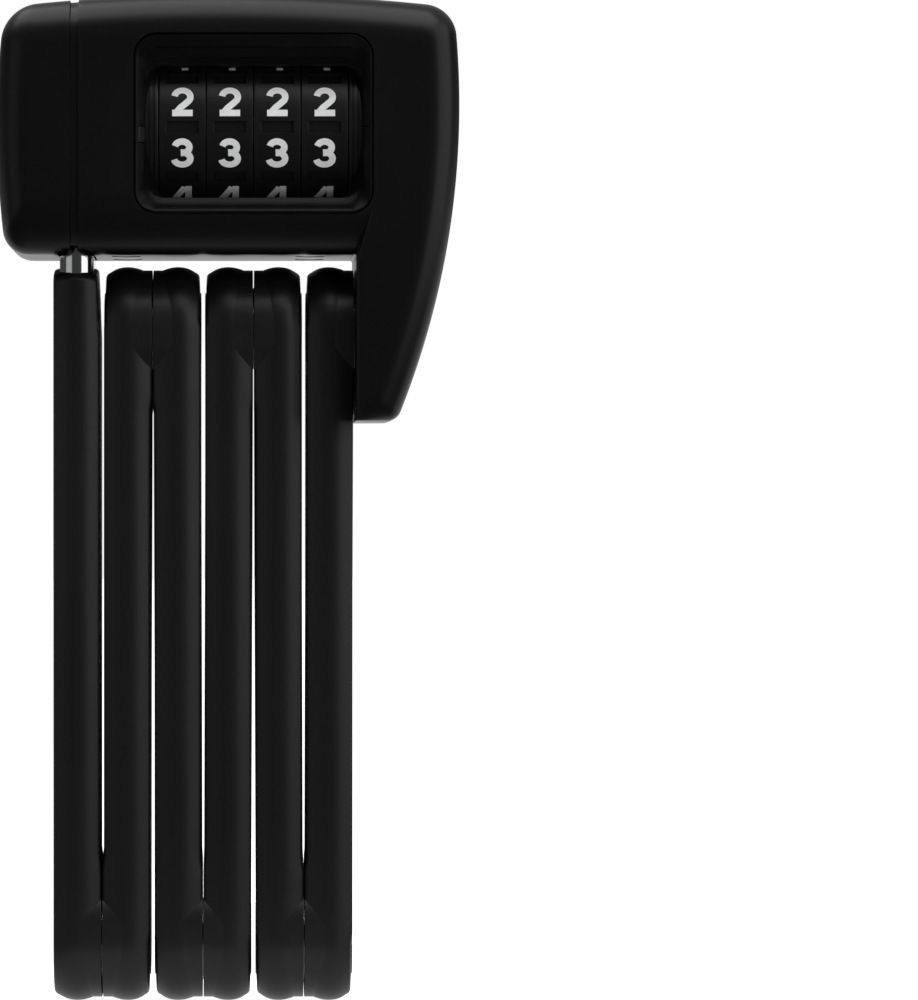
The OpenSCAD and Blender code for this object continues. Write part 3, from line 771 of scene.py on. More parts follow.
@dataclass
class Housing:
    """The moulded case, its end cap and the window's frame."""

    at: Layout
    wall: float = 1.6
    edge: float = 0.16
    pivot_hole: float = 6.25
    screw_hole: float = 2.2
    key_front: float = 1.0
    key_rear: float = 0.22
    key_play: float = 0.07
    cap_gap: float = 0.8
    groove: float = 1.25
    groove_depth: float = 0.3
    frame_side: float = 1.7
    frame_h: float = 26.0
    frame_r: float = 3.2
    mouth: tuple[float, float, float] = (5.4, 8.6, 11.5)

    def build(self) -> None:
        """Builds and dresses every piece of the case."""
        cap_x = self.at.bars[0] - self.cap_gap
        main_x = cap_x + self.groove
        skin = Skin(self.at)
        whole = Bench.loft("whole", skin.rings(0.0))
        sunk = Bench.loft("sunk", skin.rings(self.groove_depth))
        cutters = self._openings()
        for side, name in ((-1, "front_shell"), (1, "rear_shell")):
            main = self._part(whole, "main", (main_x, None), side)
            band = self._part(sunk, "band", (cap_x + 0.05, main_x + 0.3), side)
            Bench.cut(main, *cutters[: len(cutters) if side < 0 else -1])
            Bench.cut(band, cutters[0])
            shell = Bench.join(name + "_skin", [main, band])
            self._finish(shell, name)
        cap = self._part(whole, "cap", (None, cap_x), 0)
        cap.name = cap.data.name = "end_cap_skin"
        Bench.cut(cap, cutters[0])
        self._finish(cap, "end_cap")
        Bench.remove(whole, sunk, *cutters)
        self._window()
        self._key()
        self._guide()

    def _part(self, skin: bpy.types.Object, name: str, span: tuple[float | None, float | None],
              side: int) -> bpy.types.Object:
        """A walled part of the skin between two planes across X, and on one side of the middle.

        Args:
            skin: the whole skin.
            name: the part's name.
            span: its lowest and highest X, or None.
            side: -1 for the front half, 1 for the rear half, 0 for both.

        Returns:
            The part.
        """
        part = Bench.copy(skin, name)
        if span[0] is not None:
            Bench.bisect(part, (span[0], 0, 0), (-1, 0, 0))
        if span[1] is not None:
            Bench.bisect(part, (span[1], 0, 0), (1, 0, 0))
        if side:
            Bench.bisect(part, (0, 0.03 * side, 0), (0, -side, 0))
        Bench.modifier(part, "SOLIDIFY", thickness=self.wall * MM, offset=-1.0, use_even_offset=False)
        return part

    def _openings(self) -> list[bpy.types.Object]:
        """The cutters: the socket's mouth, the leg's pivot, the screws and last the window."""
        at = self.at
        width, back, front = self.mouth
        hole = rounded((at.bars[0] - width / 2, -front), (at.bars[0] + width / 2, back), 1.4)
        mouth = Bench.loft("mouth", [[(x, y, z) for x, y in hole] for z in (at.body_z - 5, at.body_z + 2.3)])
        pivot = Bench.disc("pivot", (at.leg_x, 0, at.high_pivot), self.pivot_hole, 6)
        screws = [(c[0] / MM, c[1] / MM) for c in self._screw_places()]
        holes = [Bench.disc("screw", (x, y, at.body_z), self.screw_hole, 5, "Z", 32) for x, y in screws]
        window = Bench.loft("window", [[(x, y, z) for x, z in self._frame_ring(-0.12)]
                                       for y in (at.low[1] - 2, at.low[1] + 4)])
        return [mouth, pivot, *holes, window]

    def _screw_places(self) -> list[Flat]:
        """The middles of the four screws in the underside, from their CAD node."""
        low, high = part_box("shell_screws")
        r = 2.1 * MM
        return [(x, y) for x in (low[0] + r, high[0] - r) for y in (low[1] + r, high[1] - r)]

    def _frame_ring(self, inset: float) -> list[Flat]:
        """The outer edge of the window's frame, moved inwards."""
        (x0, x1), z = self.at.row, self.at.wheel_z + 0.1
        side, half = self.frame_side - inset, self.frame_h / 2 - inset
        return rounded((x0 - side, z - half), (x1 + side, z + half), self.frame_r - inset)

    def _finish(self, shell: bpy.types.Object, node: str) -> None:
        """Bevels, smooths and dresses a shell."""
        Bench.bevel(shell, self.edge, 50.0)
        Bench.smooth(shell, 40.0)
        Bench.dress(shell, Finish.HOUSING, "housing", node)

    def _window(self) -> None:
        """The frame round the code window, with its steps and its sloped end walls."""
        at = self.at
        (x0, x1), z, front = at.row, at.wheel_z, at.low[1]
        steps = [
            (-1.42, -12.62, 12.72, 2.7, front + 0.2),
            (-1.3, -12.4, 11.35, 2.5, front + 0.3),
            (-1.24, -12.3, 11.25, 2.4, front + 0.36),
            (-0.75, -12.0, 11.1, 2.6, front + 0.9),
            (-0.35, -11.75, 10.2, 2.8, front + 1.5),
            (-0.28, -11.6, 9.85, 2.8, front + 1.75),
            (-0.22, -11.3, 9.75, 2.8, front + 2.0),
            (-0.18, -11.1, 8.75, 2.8, front + 2.2),
            (-0.12, -10.6, 8.55, 2.8, front + 2.5),
            (0.35, -10.45, 8.5, 2.6, front + 3.7),
            (1.15, -10.4, 8.5, 2.2, front + 5.2),
        ]
        rings = [
            [(x, front + 5.2, zz) for x, zz in self._frame_ring(0.6)],
            [(x, front + 3.0, zz) for x, zz in self._frame_ring(0.0)],
            [(x, front + 0.42, zz) for x, zz in self._frame_ring(0.0)],
            [(x, front + 0.28, zz) for x, zz in self._frame_ring(0.06)],
            [(x, front + 0.22, zz) for x, zz in self._frame_ring(0.2)],
        ]
        for inset, low, high, radius, y in steps:
            ring = rounded((x0 + inset, z + low), (x1 - inset, z + high), radius)
            rings.append([(x, y, zz) for x, zz in ring])
        frame = Bench.loft("window_bezel", rings, around=True)
        low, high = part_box("code_set_key")
        play = self.key_play
        room = Bench.block("room", tuple(c / MM - play for c in low),
                           tuple(c / MM + d for c, d in zip(high, (3, play, play))))
        line_z = z - 0.3
        seams = [Bench.block("seam", (low, front, z - 0.05), (high, front + 2.4, z + 0.05))
                 for low, high, z in ((x1 + 0.1, x1 + 1.3, line_z), (x0 - 1.3, x0 - 0.1, line_z),
                                      (x0 - 1.3, x0 - 0.1, line_z - 2.4))]
        Bench.cut(frame, room, *seams)
        Bench.remove(room, *seams)
        Bench.bevel(frame, 0.05, 40.0, 1)
        Bench.smooth(frame, 30.0)
        Bench.dress(frame, Finish.FRAME, "housing", "window_frame")

    def _guide(self) -> None:
        """The steel lining of the socket, from a merged copy of its CAD node, ending inside the mouth."""
        guide = Bench.twin("socket_guide", "socket_lining")
        Bench.bisect(guide, (0, 0, self.at.body_z + 2.5), (0, 0, -1), fill=True)
        Bench.smooth(guide)
        Bench.dress(guide, Finish.PLATE, "housing", "socket_guide")

    def _key(self) -> None:
        """The key that sets the code, flush with the window's sloped end wall."""
        low, high = ([c / MM for c in corner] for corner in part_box("code_set_key"))
        key = Bench.block("code_key_block", low, high)
        mesh = Bench.edit(key)
        for vertex in mesh.verts:
            outer = vertex.co.x > (low[0] + high[0]) / 2 * MM
            if outer:
                front = vertex.co.y < (low[1] + high[1]) / 2 * MM
                vertex.co.x = (self.at.row[0] - (self.key_front if front else self.key_rear)) * MM
        bmesh.update_edit_mesh(key.data)
        Bench.shut()
        Bench.bevel(key, 0.12, 30.0)
        Bench.smooth(key)
        Bench.dress(key, Finish.KEY, "code_key", "code_set_key")


# ---------------------------------------------------------------- code wheels


@dataclass(frozen=True)
class Figures:
    """The ten digits as strokes, in a box 0.72 wide and 1 high."""

    half: float = 0.1

    def strokes(self, value: int) -> list[tuple[list[Flat], bool]]:
        """The strokes of one digit.

        Args:
            value: which digit.

        Returns:
            Each stroke's middle line, and whether it is closed.
        """
        low, high, mid = self.half, 1 - self.half, 0.36
        small, big = (0.245, 0.205), (0.262, 0.232)
        if value == 0:
            return [(self._bow((mid, 0.5), (0.26, 0.4), 0, 360), True)]
        if value == 1:
            return [([(0.44, 0.0), (0.44, 1.0)], False), ([(0.13, 0.70), (0.3, 0.76), (0.43, 0.93)], False)]
        if value == 2:
            top = self._bow((mid, 0.655), (0.255, 0.245), 172, -28) + [(0.47, 0.43), (0.3, 0.28), (0.12, 0.06)]
            return [(top, False), ([(0.03, low - 0.005), (0.69, low - 0.005)], False)]
        if value == 3:
            upper = self._bow((mid - 0.01, 0.705), (small[0] - 0.01, 0.195), 168, -100)
            lower = self._bow((mid - 0.01, 0.315), (big[0], 0.215), 100, -170)
            return [(upper, False), (lower, False)]
        if value == 4:
            return [([(0.545, 0.0), (0.545, 1.0)], False), ([(0.0, 0.29), (0.72, 0.29)], False),
                    ([(0.04, 0.29), (0.43, 0.95)], False)]
        if value == 5:
            bowl = self._bow((mid, 0.32), (big[0], 0.222), 138, -168)
            return [([(0.14, high), (0.66, high)], False), ([(0.21, 0.95), (0.145, 0.44)], False), (bowl, False)]
        if value == 6:
            back = self._bow((mid + 0.03, 0.5), (0.29, 0.4), 196, 38)
            return [(self._bow((mid, 0.315), (0.255, 0.216), 0, 360), True), (back, False)]
        if value == 7:
            return [([(0.03, high), (0.68, high)], False),
                    ([(0.62, 0.9), (0.47, 0.66), (0.34, 0.38), (0.28, 0.0)], False)]
        if value == 8:
            return [(self._bow((mid, 0.715), (0.225, 0.186), 0, 360), True),
                    (self._bow((mid, 0.305), (0.25, 0.206), 0, 360), True)]
        return [([(0.72 - x, 1 - y) for x, y in path], closed) for path, closed in self.strokes(6)]

    def _bow(self, middle: Flat, reach: Flat, start: float, end: float) -> list[Flat]:
        """Points along part of an ellipse."""
        steps = max(6, round(abs(end - start) / 12))
        last = steps if abs(end - start) < 360 else steps - 1
        turns = [math.radians(start + (end - start) * i / steps) for i in range(last + 1)]
        return [(middle[0] + reach[0] * math.cos(a), middle[1] + reach[1] * math.sin(a)) for a in turns]


@dataclass
class CodeRow:
    """The four wheels with their digits, and the plain collars at both ends."""

    at: Layout
    width: float = 6.81
    bore: float = 6.55
    band: float = 4.9
    pocket_depth: float = 0.5
    first_pocket: float = -1.5
    step: float = 36.0
    sides: int = 120
    digit_h: float = 4.35
    digit_w: float = 3.25
    stroke: float = 0.95
    first_digit: float = 16.5
    first_value: int = 2

    def build(self) -> None:
        """Builds the wheels, their digits and the collars."""
        base = self._wheel(self.at.wheels[0])
        digits = self._digits(self.at.wheels[0])
        for k, x in enumerate(self.at.wheels, 1):
            shift = (x - self.at.wheels[0], 0, 0)
            wheel = Bench.copy(base, f"wheel_ring_{k}", shift)
            Bench.dress(wheel, Finish.WHEEL, f"wheel_{k}", f"code_wheel_{k}")
            figures = Bench.copy(digits, f"wheel_digits_{k}", shift)
            Bench.dress(figures, Finish.DIGIT, f"wheel_{k}")
        Bench.remove(base, digits)
        self._collars()

    def _circle(self, x: float, radius: float) -> list[Point]:
        """A ring about the wheels' axis."""
        turns = [2 * math.pi * i / self.sides for i in range(self.sides)]
        return [(x, -radius * math.cos(a), self.at.wheel_z + radius * math.sin(a)) for a in turns]

    def _wheel(self, x: float) -> bpy.types.Object:
        """One wheel with its ten pockets."""
        half, r = self.width / 2, self.at.wheel_r
        profile = [(-half, self.bore), (-half, r - 0.14), (-half + 0.05, r - 0.04), (-half + 0.14, r),
                   (-self.band / 2, r), (self.band / 2, r), (half - 0.14, r), (half - 0.05, r - 0.04),
                   (half, r - 0.14), (half, self.bore)]
        wheel = Bench.loft("wheel_base", [self._circle(x + dx, radius) for dx, radius in profile], around=True)
        for finish in (Finish.WHEEL, Finish.POCKET):
            wheel.data.materials.append(finish.material())
        for i in range(10):
            self._pocket(wheel, x, math.radians(self.first_pocket + self.step * i))
        Bench.bevel(wheel, 0.07, 40.0)
        Bench.smooth(wheel, 30.0)
        return wheel

    def _pocket(self, wheel: bpy.types.Object, x: float, turn: float) -> None:
        """Sinks one flat-floored pocket into the rim."""
        out = Vector((0, -math.cos(turn), math.sin(turn)))
        axis = Vector((x, 0, self.at.wheel_z)) * MM
        mesh = Bench.edit(wheel, "FACE")
        for face in mesh.faces:
            arm = face.calc_center_median() - axis
            rim = math.hypot(arm.y, arm.z) > (self.at.wheel_r - 0.05) * MM
            near = rim and abs(arm.x) < self.band / 2 * MM
            face.select_set(near and arm.normalized().dot(out) > math.cos(math.radians(4.6)))
        bpy.ops.mesh.inset(thickness=0.1 * MM)
        bpy.ops.mesh.extrude_region_move(TRANSFORM_OT_translate={"value": -out * self.pocket_depth * MM})
        wheel.active_material_index = 1
        bpy.ops.object.material_slot_assign()
        Bench.shut()

    def _digits(self, x: float) -> bpy.types.Object:
        """Ten digits laid round one wheel."""
        parts = [self._digit((self.first_value + i) % 10, x, self.first_digit - self.step * i) for i in range(10)]
        return Bench.join("digits_base", parts)

    def _digit(self, value: int, x: float, turn: float) -> bpy.types.Object:
        """One digit, wrapped onto the rim and given its thickness.

        Args:
            value: which digit.
            x: the wheel's middle.
            turn: the digit's angle above the level, in degrees.

        Returns:
            The digit.
        """
        strokes = [self._stroke(path, closed) for path, closed in Figures().strokes(value)]
        obj = strokes[0]
        obj.name = obj.data.name = f"figure_{value}"
        for other in strokes[1:]:
            Bench.modifier(obj, "BOOLEAN", operation="UNION", object=other, solver="EXACT")
        Bench.remove(*strokes[1:])
        for i in range(1, 12):
            Bench.edit(obj, whole=True)
            height = (i / 12 - 0.5) * self.digit_h * MM
            bpy.ops.mesh.bisect(plane_co=(0, height, 0), plane_no=(0, 1, 0))
            Bench.shut()
        Bench.tidy(obj, 0.004)
        for v in obj.data.vertices:
            radius = self.at.wheel_r * MM + v.co.z
            angle = math.radians(turn) + v.co.y / (self.at.wheel_r * MM)
            v.co = Vector((x * MM + v.co.x, -radius * math.cos(angle),
                           self.at.wheel_z * MM + radius * math.sin(angle)))
        Bench.outward(obj)
        return obj

    def _stroke(self, path: Sequence[Flat], closed: bool) -> bpy.types.Object:
        """A flat ribbon along a path, lying on z = 0 with the figure's middle at the origin.

        Args:
            path: the stroke's middle line, in the figure's own units.
            closed: whether the path runs round to its start.

        Returns:
            The ribbon, as thick as the paint.
        """
        last = len(path) - 1
        wide, tall = self.digit_w / 0.72, self.digit_h
        rings = []
        for i, (px, py) in enumerate(path):
            before = path[i - 1] if i or closed else path[i]
            after = path[(i + 1) % len(path)] if i < last or closed else path[i]
            dx, dy = (after[0] - before[0]) * wide, (after[1] - before[1]) * tall
            size = math.hypot(dx, dy)
            ox, oy = -dy / size * self.stroke / 2, dx / size * self.stroke / 2
            cx, cy = (px - 0.36) * wide, (py - 0.5) * tall
            rings.append([(cx + ox, cy + oy, -0.09), (cx + ox, cy + oy, 0.025),
                          (cx - ox, cy - oy, 0.025), (cx - ox, cy - oy, -0.09)])
        return Bench.loft("stroke", rings, around=closed)

    def _collars(self) -> None:
        """The collars, with a soft edge towards the wheels."""
        r = self.at.wheel_r
        parts = []
        for side, inner in ((-1, self.at.row[0] + 1.76), (1, self.at.row[1] - 1.76)):
            profile = [(0.0, 3.0), (0.0, r - 0.25), (0.08, r - 0.07), (0.25, r), (0.55, r), (0.62, r - 0.12),
                       (0.74, r - 0.12), (0.81, r), (1.3, r), (1.37, r - 0.1), (1.45, r - 0.1), (1.52, r),
                       (1.95, r), (2.15, r - 0.2), (2.15, 3.0)]
            rings = [self._circle(inner + side * along, radius) for along, radius in profile]
            parts.append(Bench.loft("collar", rings, around=True))
        collars = Bench.join("end_collars", parts)
        Bench.smooth(collars)
        Bench.dress(collars, Finish.WHEEL, "housing", "wheel_collars")


# ---------------------------------------------------------------- bars


@dataclass
class BarChain:
    """The six jackets with their crowned edges and raised pivots, the caps and the tongue."""

    at: Layout
    crown: float = 5.0
    corner: float = 0.6
    boss_r: float = 8.6
    boss_h: float = 0.25
    boss_w: float = 9.05
    boss_reach: float = 6.4
    flat_r: float = 13.3
    skirt_r: float = 14.4
    taper: float = 0.3
    taper_len: float = 7.0
    round_steps: int = 36
    side_steps: int = 60
    cap_r: float = 5.25
    tip_r: float = 3.0
    latch_r: float = 2.5
    rivet_r: float = 3.6
    flat_top_r: float = 6.5
    cap_t: float = 0.3
    cap_proud: float = 0.04

    def build(self) -> None:
        """Builds every jacket, cap and the tongue."""
        for k in range(1, 7):
            self._jacket(k)
            self._caps(k)
        self._tongue()

    def _stadium(self, radius: float, flat_top: float | None) -> list[Flat]:
        """A ring of (y, z) points round both pivots; flat_top squares the upper end off at that height."""
        at, n, m = self.at, self.round_steps, self.side_steps
        low, high = at.low_pivot, at.high_pivot
        ring = arc((0, low), radius, -180, 0, n) + line((radius, low), (radius, high), m)
        if flat_top is None:
            return ring + arc((0, high), radius, 0, 180, n) + line((-radius, high), (-radius, low), m)
        edge = max(radius - 0.9, 0.2)
        drop = flat_top - 1.75 * (radius / at.bar_r) ** 2
        top = []
        for i in range(n):
            y = radius * math.cos(math.pi * i / n)
            if abs(y) > edge:
                z = drop - 0.9 * (1 - math.sqrt(max(0.0, 1 - ((abs(y) - edge) / (radius - edge + 1e-6)) ** 2)))
            else:
                z = flat_top - 1.75 * (y / at.bar_r) ** 2
            top.append((y, z))
        top[0] = (radius, drop - 0.9)
        return ring + top + line((-radius, drop - 0.9), (-radius, low), m)

    def _rise(self, away: float) -> float:
        """How far a joint's raised part stands out at a distance from its pivot."""
        return self.boss_h * min(1.0, max(0.0, (self.skirt_r - away) / (self.skirt_r - self.flat_r)))

    def _height(self, y: float, z: float, side: int, k: int) -> float:
        """How far the flat side at (y, z) stands out: raised at a joint, tapered at a free end."""
        at = self.at
        joint_low = (k % 2 == 1) == (side == 1)
        joint = at.low_pivot if joint_low else at.high_pivot
        free = at.high_pivot if joint_low else at.low_pivot
        rise = 0.0
        if k > 1 or side == 1:
            rise = self._rise(math.hypot(y, z - joint))
        outside = math.hypot(y, max(0.0, (z - free) * (1 if joint_low else -1)))
        past = (z - free) if joint_low else (free - z)
        end = max(0.0, outside - (at.bar_r - self.taper_len)) if past > 0 else 0.0
        if k == 1 and side == -1 and not joint_low:
            end = 0.0
        return at.bar_t / 2 + rise - (self.taper * (end / self.taper_len) ** 1.5 if rise == 0.0 else 0.0)

    def _jacket(self, k: int) -> None:
        """One jacket, with the raised disc at each of its joints."""
        at, x = self.at, self.at.bars[k - 1]
        top = at.high_pivot + at.bar_r + 0.2 if k == 1 else None
        half = at.bar_t / 2
        sag_at = lambda level: self.crown - math.sqrt(self.crown**2 - level**2)
        edge_r = at.bar_r - sag_at(half - self.corner)
        flat = edge_r - self.corner * 0.8
        corner = [(flat + 0.04, half - 0.05), (flat + 0.2, half - 0.16), (flat + 0.38, half - 0.36)]
        levels = [half - self.corner] + [half * f for f in (0.7, 0.56, 0.42, 0.28, 0.14)]
        rings: list[list[Point]] = []
        def side_rings(side: int) -> list[list[Point]]:
            """The rings from the flat side's middle to the bar's mid-plane."""
            made = []
            for radius in (0.4, 2.2, 4.4, 6.0, flat - 0.12):
                follow = 0.6 if radius > self.flat_top_r else 1.0
                points = self._stadium(radius, top - (at.bar_r - radius) * follow if top else None)
                made.append([(x + side * self._height(y, z, side, k), y, z) for y, z in points])
            for radius, level in corner + [(at.bar_r - sag_at(level), level) for level in levels]:
                points = self._stadium(radius, top - (at.bar_r - radius) * 0.55 if top else None)
                lift = [self._height(y, z, side, k) - half for y, z in points]
                share = max(0.0, (level / half - 0.4) / 0.6)
                made.append([(x + side * (level + lift[i] * share), y, z) for i, (y, z) in enumerate(points)])
            return made
        left, right = side_rings(-1), side_rings(1)
        rings = left + [[(x, y, z) for y, z in self._stadium(at.bar_r, top)]] + right[::-1]
        jacket = Bench.loft("jacket", rings)
        parts = [jacket]
        for side in (-1, 1):
            if side == -1 and k == 1:
                continue
            parts.append(self._boss(x, side, (k % 2 == 1) == (side == 1)))
        whole = Bench.join(f"bar_cover_{k}", parts)
        Bench.smooth(whole, 34.0)
        Bench.dress(whole, Finish.JACKET, f"bar_{k}", f"bar_jacket_{k}")

    def _boss(self, x: float, side: int, low: bool) -> bpy.types.Object:
        """The raised pad of a joint: round at the bar's end, and running out to a point along its edges.

        Args:
            x: the bar's middle.
            side: which flat side it stands on.
            low: whether it is at the bar's lower end.

        Returns:
            The pad.
        """
        at = self.at
        joint, way = (at.low_pivot, 1) if low else (at.high_pivot, -1)
        reach = self.boss_reach
        half = [(y * self.boss_w, z * self.boss_r) for y, z in arc((0, 0), 1.0, -90, 0, 18)]
        half += [(self.boss_w, 0), (self.boss_w, 1.5), (self.boss_w, 2.8), (8.97, 3.4), (8.86, 4.0), (8.68, 4.6),
                 (8.45, 5.2), (8.15, 5.8)]
        tip = math.degrees(math.atan2(reach, 7.8))
        half += arc((0, 0), math.hypot(7.8, reach), tip, 90, 12)
        shape = half + [(-y, z) for y, z in reversed(half[1:])]
        face = at.bar_t / 2 + self.boss_h
        rings = []
        for depth, shrink in ((0.0, 0.12), (0.03, 0.04), (0.12, 0.0), (2.95, 0.0)):
            ring = []
            for y, z in shape:
                size = math.hypot(y, z)
                level = face - depth - self.boss_h + self._rise(size)
                ring.append((x + side * level, y * (1 - shrink / size), joint + way * z * (1 - shrink / size)))
            rings.append(ring)
        return Bench.loft("boss", rings)

    def _caps(self, k: int) -> None:
        """The shallow dimpled discs over the rivets' heads on the bar's outer faces."""
        at, x = self.at, self.at.bars[k - 1]
        places = [(-1, at.low_pivot if k % 2 == 1 else at.high_pivot)]
        if k > 1:
            places.append((1, at.high_pivot if k % 2 == 1 else at.low_pivot))
        middle = at.bar_t / 2 + self.cap_proud - self.cap_t / 2
        parts = []
        for side, z in places:
            disc = Bench.disc("cap", (x + side * middle, 0, z), self.cap_r, self.cap_t, sides=72)
            mesh = Bench.edit(disc, "FACE")
            for face in mesh.faces:
                face.select_set(face.normal.x * side > 0.9)
            bpy.ops.mesh.inset(thickness=1.1 * MM)
            bpy.ops.mesh.extrude_region_move(TRANSFORM_OT_translate={"value": (-side * 0.1 * MM, 0, 0)})
            bpy.ops.mesh.inset(thickness=0.25 * MM)
            Bench.shut()
            Bench.bevel(disc, 0.04)
            parts.append(disc)
        caps = Bench.join(f"rivet_cover_{k}", parts)
        Bench.smooth(caps)
        Bench.dress(caps, Finish.CAP, f"bar_{k}", f"rivet_caps_{k}")

    def _tongue(self) -> None:
        """The first bar's steel: a strip with half-round edges, a round tip, and its two holes."""
        low, high = ([c / MM for c in corner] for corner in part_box("bar_core_1"))
        x, half = (low[0] + high[0]) / 2, (high[0] - low[0]) / 2
        wide, tip = high[1], self.tip_r
        rings = []
        lower = [wide * (1 - math.cos(math.radians(a))) for a in (22, 35, 48, 60, 70, 80, 90)]
        upper = [tip * (1 - math.cos(math.radians(a))) for a in (90, 80, 70, 60, 48, 36, 24, 12)]
        for z in [low[2] + d for d in lower] + [high[2] - d for d in upper]:
            reach = wide
            if z < low[2] + wide:
                reach = math.sqrt(max(0.1, wide**2 - (low[2] + wide - z) ** 2))
            elif z > high[2] - tip:
                reach = wide - tip + math.sqrt(max(0.0, tip**2 - (z - high[2] + tip) ** 2))
            edge = max(reach - half, 0.2)
            ring = line((half, -edge), (half, edge), 6) + arc((0, edge), half, 0, 180, 24)
            ring += line((-half, edge), (-half, -edge), 6) + arc((0, -edge), half, 180, 360, 24)
            rings.append([(x + a, b, z) for a, b in ring])
        steel = Bench.loft("tongue_steel", rings)
        holes = [Bench.disc("hole", (x, 0, self.at.low_pivot), self.rivet_r, 9),
                 Bench.disc("hole", (x, 0, self.at.wheel_z), self.latch_r, 9)]
        Bench.cut(steel, *holes)
        Bench.remove(*holes)
        Bench.bevel(steel, 0.15, 50.0)
        Bench.smooth(steel, 30.0)
        Bench.dress(steel, Finish.TONGUE, "bar_1", "bar_core_1")


# ---------------------------------------------------------------- inner works


@dataclass(frozen=True)
class InnerWorks:
    """The metal pieces inside, which keep their CAD shape."""

    finishes: tuple[tuple[str, Finish], ...] = (
        ("chassis", Finish.CAST), ("socket_guide", Finish.PLATE), ("leg_", Finish.PLATE),
        ("detent_spring", Finish.SPRING), ("latch_spring", Finish.SPRING), ("shell_screws", Finish.PLATE),
        ("latch_spindle", Finish.PLATE), ("code_hub", Finish.BRASS), ("bar_core", Finish.TONGUE),
        ("bar_rivet", Finish.PLATE), ("bar_washer", Finish.PLATE), ("", Finish.HOUSING),
    )

    def dress(self, nodes: dict[str, bpy.types.Object]) -> None:
        """Gives every CAD node its finish.

        Args:
            nodes: the frame's nodes by name.
        """
        for name, obj in nodes.items():
            finish = next(f for start, f in self.finishes if name.startswith(start))
            obj.data.materials.clear()
            obj.data.materials.append(finish.material())
        LOG.info("dressed %d CAD nodes", len(nodes))


# ---------------------------------------------------------------- studio


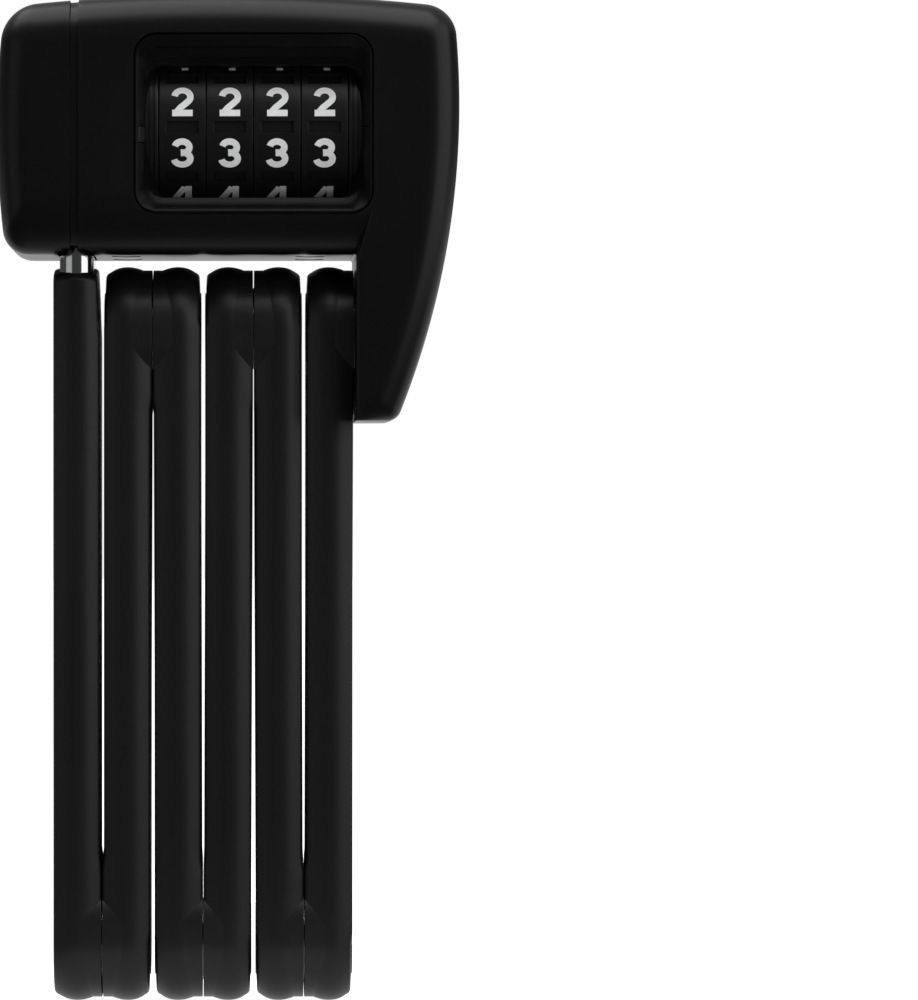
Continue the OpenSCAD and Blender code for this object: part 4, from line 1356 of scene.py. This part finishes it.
@dataclass
class Studio:
    """A pale floor and backdrop, soft lamps, and the camera."""

    distance: float = 750.0
    eye: Flat = (1.72, 73.8)
    lens: float = 182.8
    shift: float = 0.219
    world: float = 0.05
    shadow: Flat = (0.07, 0.2)

    def build(self) -> None:
        """Sets the stage."""
        self._backdrop()
        self._world()
        self._lamp("top_light", (-60, -90, 640), (0, 0, 100), (900, 460), 4.0)
        self._lamp("right_light", (640, -360, 280), (0, 0, 80), (800, 1000), 4.4)
        self._lamp("left_light", (-560, -400, 150), (0, 0, 100), (520, 520), 0.35)
        self._camera()

    def _backdrop(self) -> None:
        """A pale floor, white to the camera away from the lock; to mirrors it glows as a painted reflection near and
        behind the lock, and is dark at a distance.
        """
        bpy.ops.object.select_all(action="DESELECT")
        bpy.ops.mesh.primitive_plane_add(size=8, location=(0, 0, -0.0002))
        floor = bpy.context.active_object
        floor.name = floor.data.name = "floor"
        material = bpy.data.materials.new("floor_white")
        floor.data.materials.append(material)
        g = Graph(material)
        away = g.node("ShaderNodeVectorMath", {"operation": "LENGTH"}, {0: g.place()}, "Value")
        # To the camera the floor glows white, dimmed by a tenth within 7 cm of the lock and back to full by 20 cm, so
        # the lamps' cast shadow shows there.
        near = g.ramp(away, (self.shadow[0], 1.0), (self.shadow[1], 0.0))
        path = lambda ray: g.node("ShaderNodeLightPath", out=ray)
        g.set(Base_Color=g.mix(g.noise(2.0), (0.70, 0.70, 0.70, 1), (0.74, 0.74, 0.74, 1)), Roughness=0.8,
              Specular_IOR_Level=0.0, Emission_Strength=1.0,
              Emission_Color=g.mix(path("Is Camera Ray") * (near * -0.1 + 1.0), (0, 0, 0, 1), (1, 1, 1, 1)))
        split = lambda axis: g.node("ShaderNodeSeparateXYZ", {}, {0: g.place()}, axis)
        # Painted reflection: to glossy rays the floor is a glowing sheet, 0.9 within 3 cm of the lock and fading out
        # by 10 cm, and 0.85 behind it, which puts a bright reflection on the bars' lower ends.
        behind = g.ramp(split("Y"), (0.0, 0.0), (0.03, 0.85))
        painted_reflection = g.ramp(away, (0.03, 0.9), (0.055, 0.3), (0.1, 0.05)) + behind
        reflection_glow = g.node("ShaderNodeEmission", {}, {"Color": g.mix(painted_reflection, (0, 0, 0, 1), (1, 1, 1, 1))})
        plain = Wire(g, g.shader.outputs[0])
        g.feed(g.output.inputs[0], g.node("ShaderNodeMixShader", {}, {0: path("Is Glossy Ray"), 1: plain, 2: reflection_glow}))

    def _world(self) -> None:
        """White behind the lock for the camera, glass and mirrors, and a dim even room for everything else."""
        world = bpy.data.worlds.new("room")
        bpy.context.scene.world = world
        world.use_nodes = True
        tree = world.node_tree
        tree.nodes.clear()
        output = tree.nodes.new("ShaderNodeOutputWorld")
        mix = tree.nodes.new("ShaderNodeMixShader")
        plain, room = tree.nodes.new("ShaderNodeBackground"), tree.nodes.new("ShaderNodeBackground")
        g = Graph.of(tree)
        way = g.node("ShaderNodeTexCoord", out="Generated")
        above = g.node("ShaderNodeVectorMath", {"operation": "DOT_PRODUCT"}, {0: way, 1: (0.0, 0.4, 1.0)}, "Value")
        g.feed(plain.inputs[0], g.ramp(above, (0.35, self.world), (0.85, 0.55)))
        room.inputs[0].default_value = (1, 1, 1, 1)
        path = lambda ray: g.node("ShaderNodeLightPath", out=ray)
        behind = g.ramp(g.node("ShaderNodeSeparateXYZ", {}, {0: way}, "Y"), (0.965, 0.0), (0.99, 1.0))
        g.feed(mix.inputs[0], path("Is Camera Ray") + path("Is Transmission Ray") + path("Is Glossy Ray") * behind)
        tree.links.new(plain.outputs[0], mix.inputs[1])
        tree.links.new(room.outputs[0], mix.inputs[2])
        tree.links.new(mix.outputs[0], output.inputs[0])

    def _lamp(self, name: str, place: Point, aim: Point, size: Flat, power: float) -> None:
        """A soft rectangular lamp.

        Args:
            name: its name.
            place: where it stands, in millimetres.
            aim: the point that it faces.
            size: its width and height, in millimetres.
            power: its power in watts.
        """
        data = bpy.data.lights.new(name, "AREA")
        data.shape, data.size, data.size_y, data.energy = "RECTANGLE", size[0] * MM, size[1] * MM, power
        lamp = bpy.data.objects.new(name, data)
        bpy.context.scene.collection.objects.link(lamp)
        lamp.location = Vector(place) * MM
        lamp.rotation_euler = (Vector(aim) - Vector(place)).to_track_quat("-Z", "Y").to_euler()

    def _camera(self) -> None:
        """A long lens, level, in front of the lower half."""
        data = bpy.data.cameras.new("camera")
        data.lens, data.shift_x, data.clip_start, data.clip_end = self.lens, self.shift, 0.05, 20
        camera = bpy.data.objects.new("camera", data)
        bpy.context.scene.collection.objects.link(camera)
        camera.location = Vector((self.eye[0], -self.distance, self.eye[1])) * MM
        camera.rotation_euler = (math.pi / 2, 0, 0)
        bpy.context.scene.camera = camera


def main() -> None:
    """Loads the frame and builds the lock piece by piece."""
    logging.basicConfig(level=logging.INFO, format="%(message)s")
    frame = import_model()
    bpy.context.scene.view_settings.view_transform = "Standard"
    at = Layout()
    Studio().build()
    InnerWorks().dress(frame["nodes"])
    Housing(at).build()
    CodeRow(at).build()
    BarChain(at).build()
    bpy.ops.object.select_all(action="DESELECT")
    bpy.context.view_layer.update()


if __name__ == "__main__":
    main()
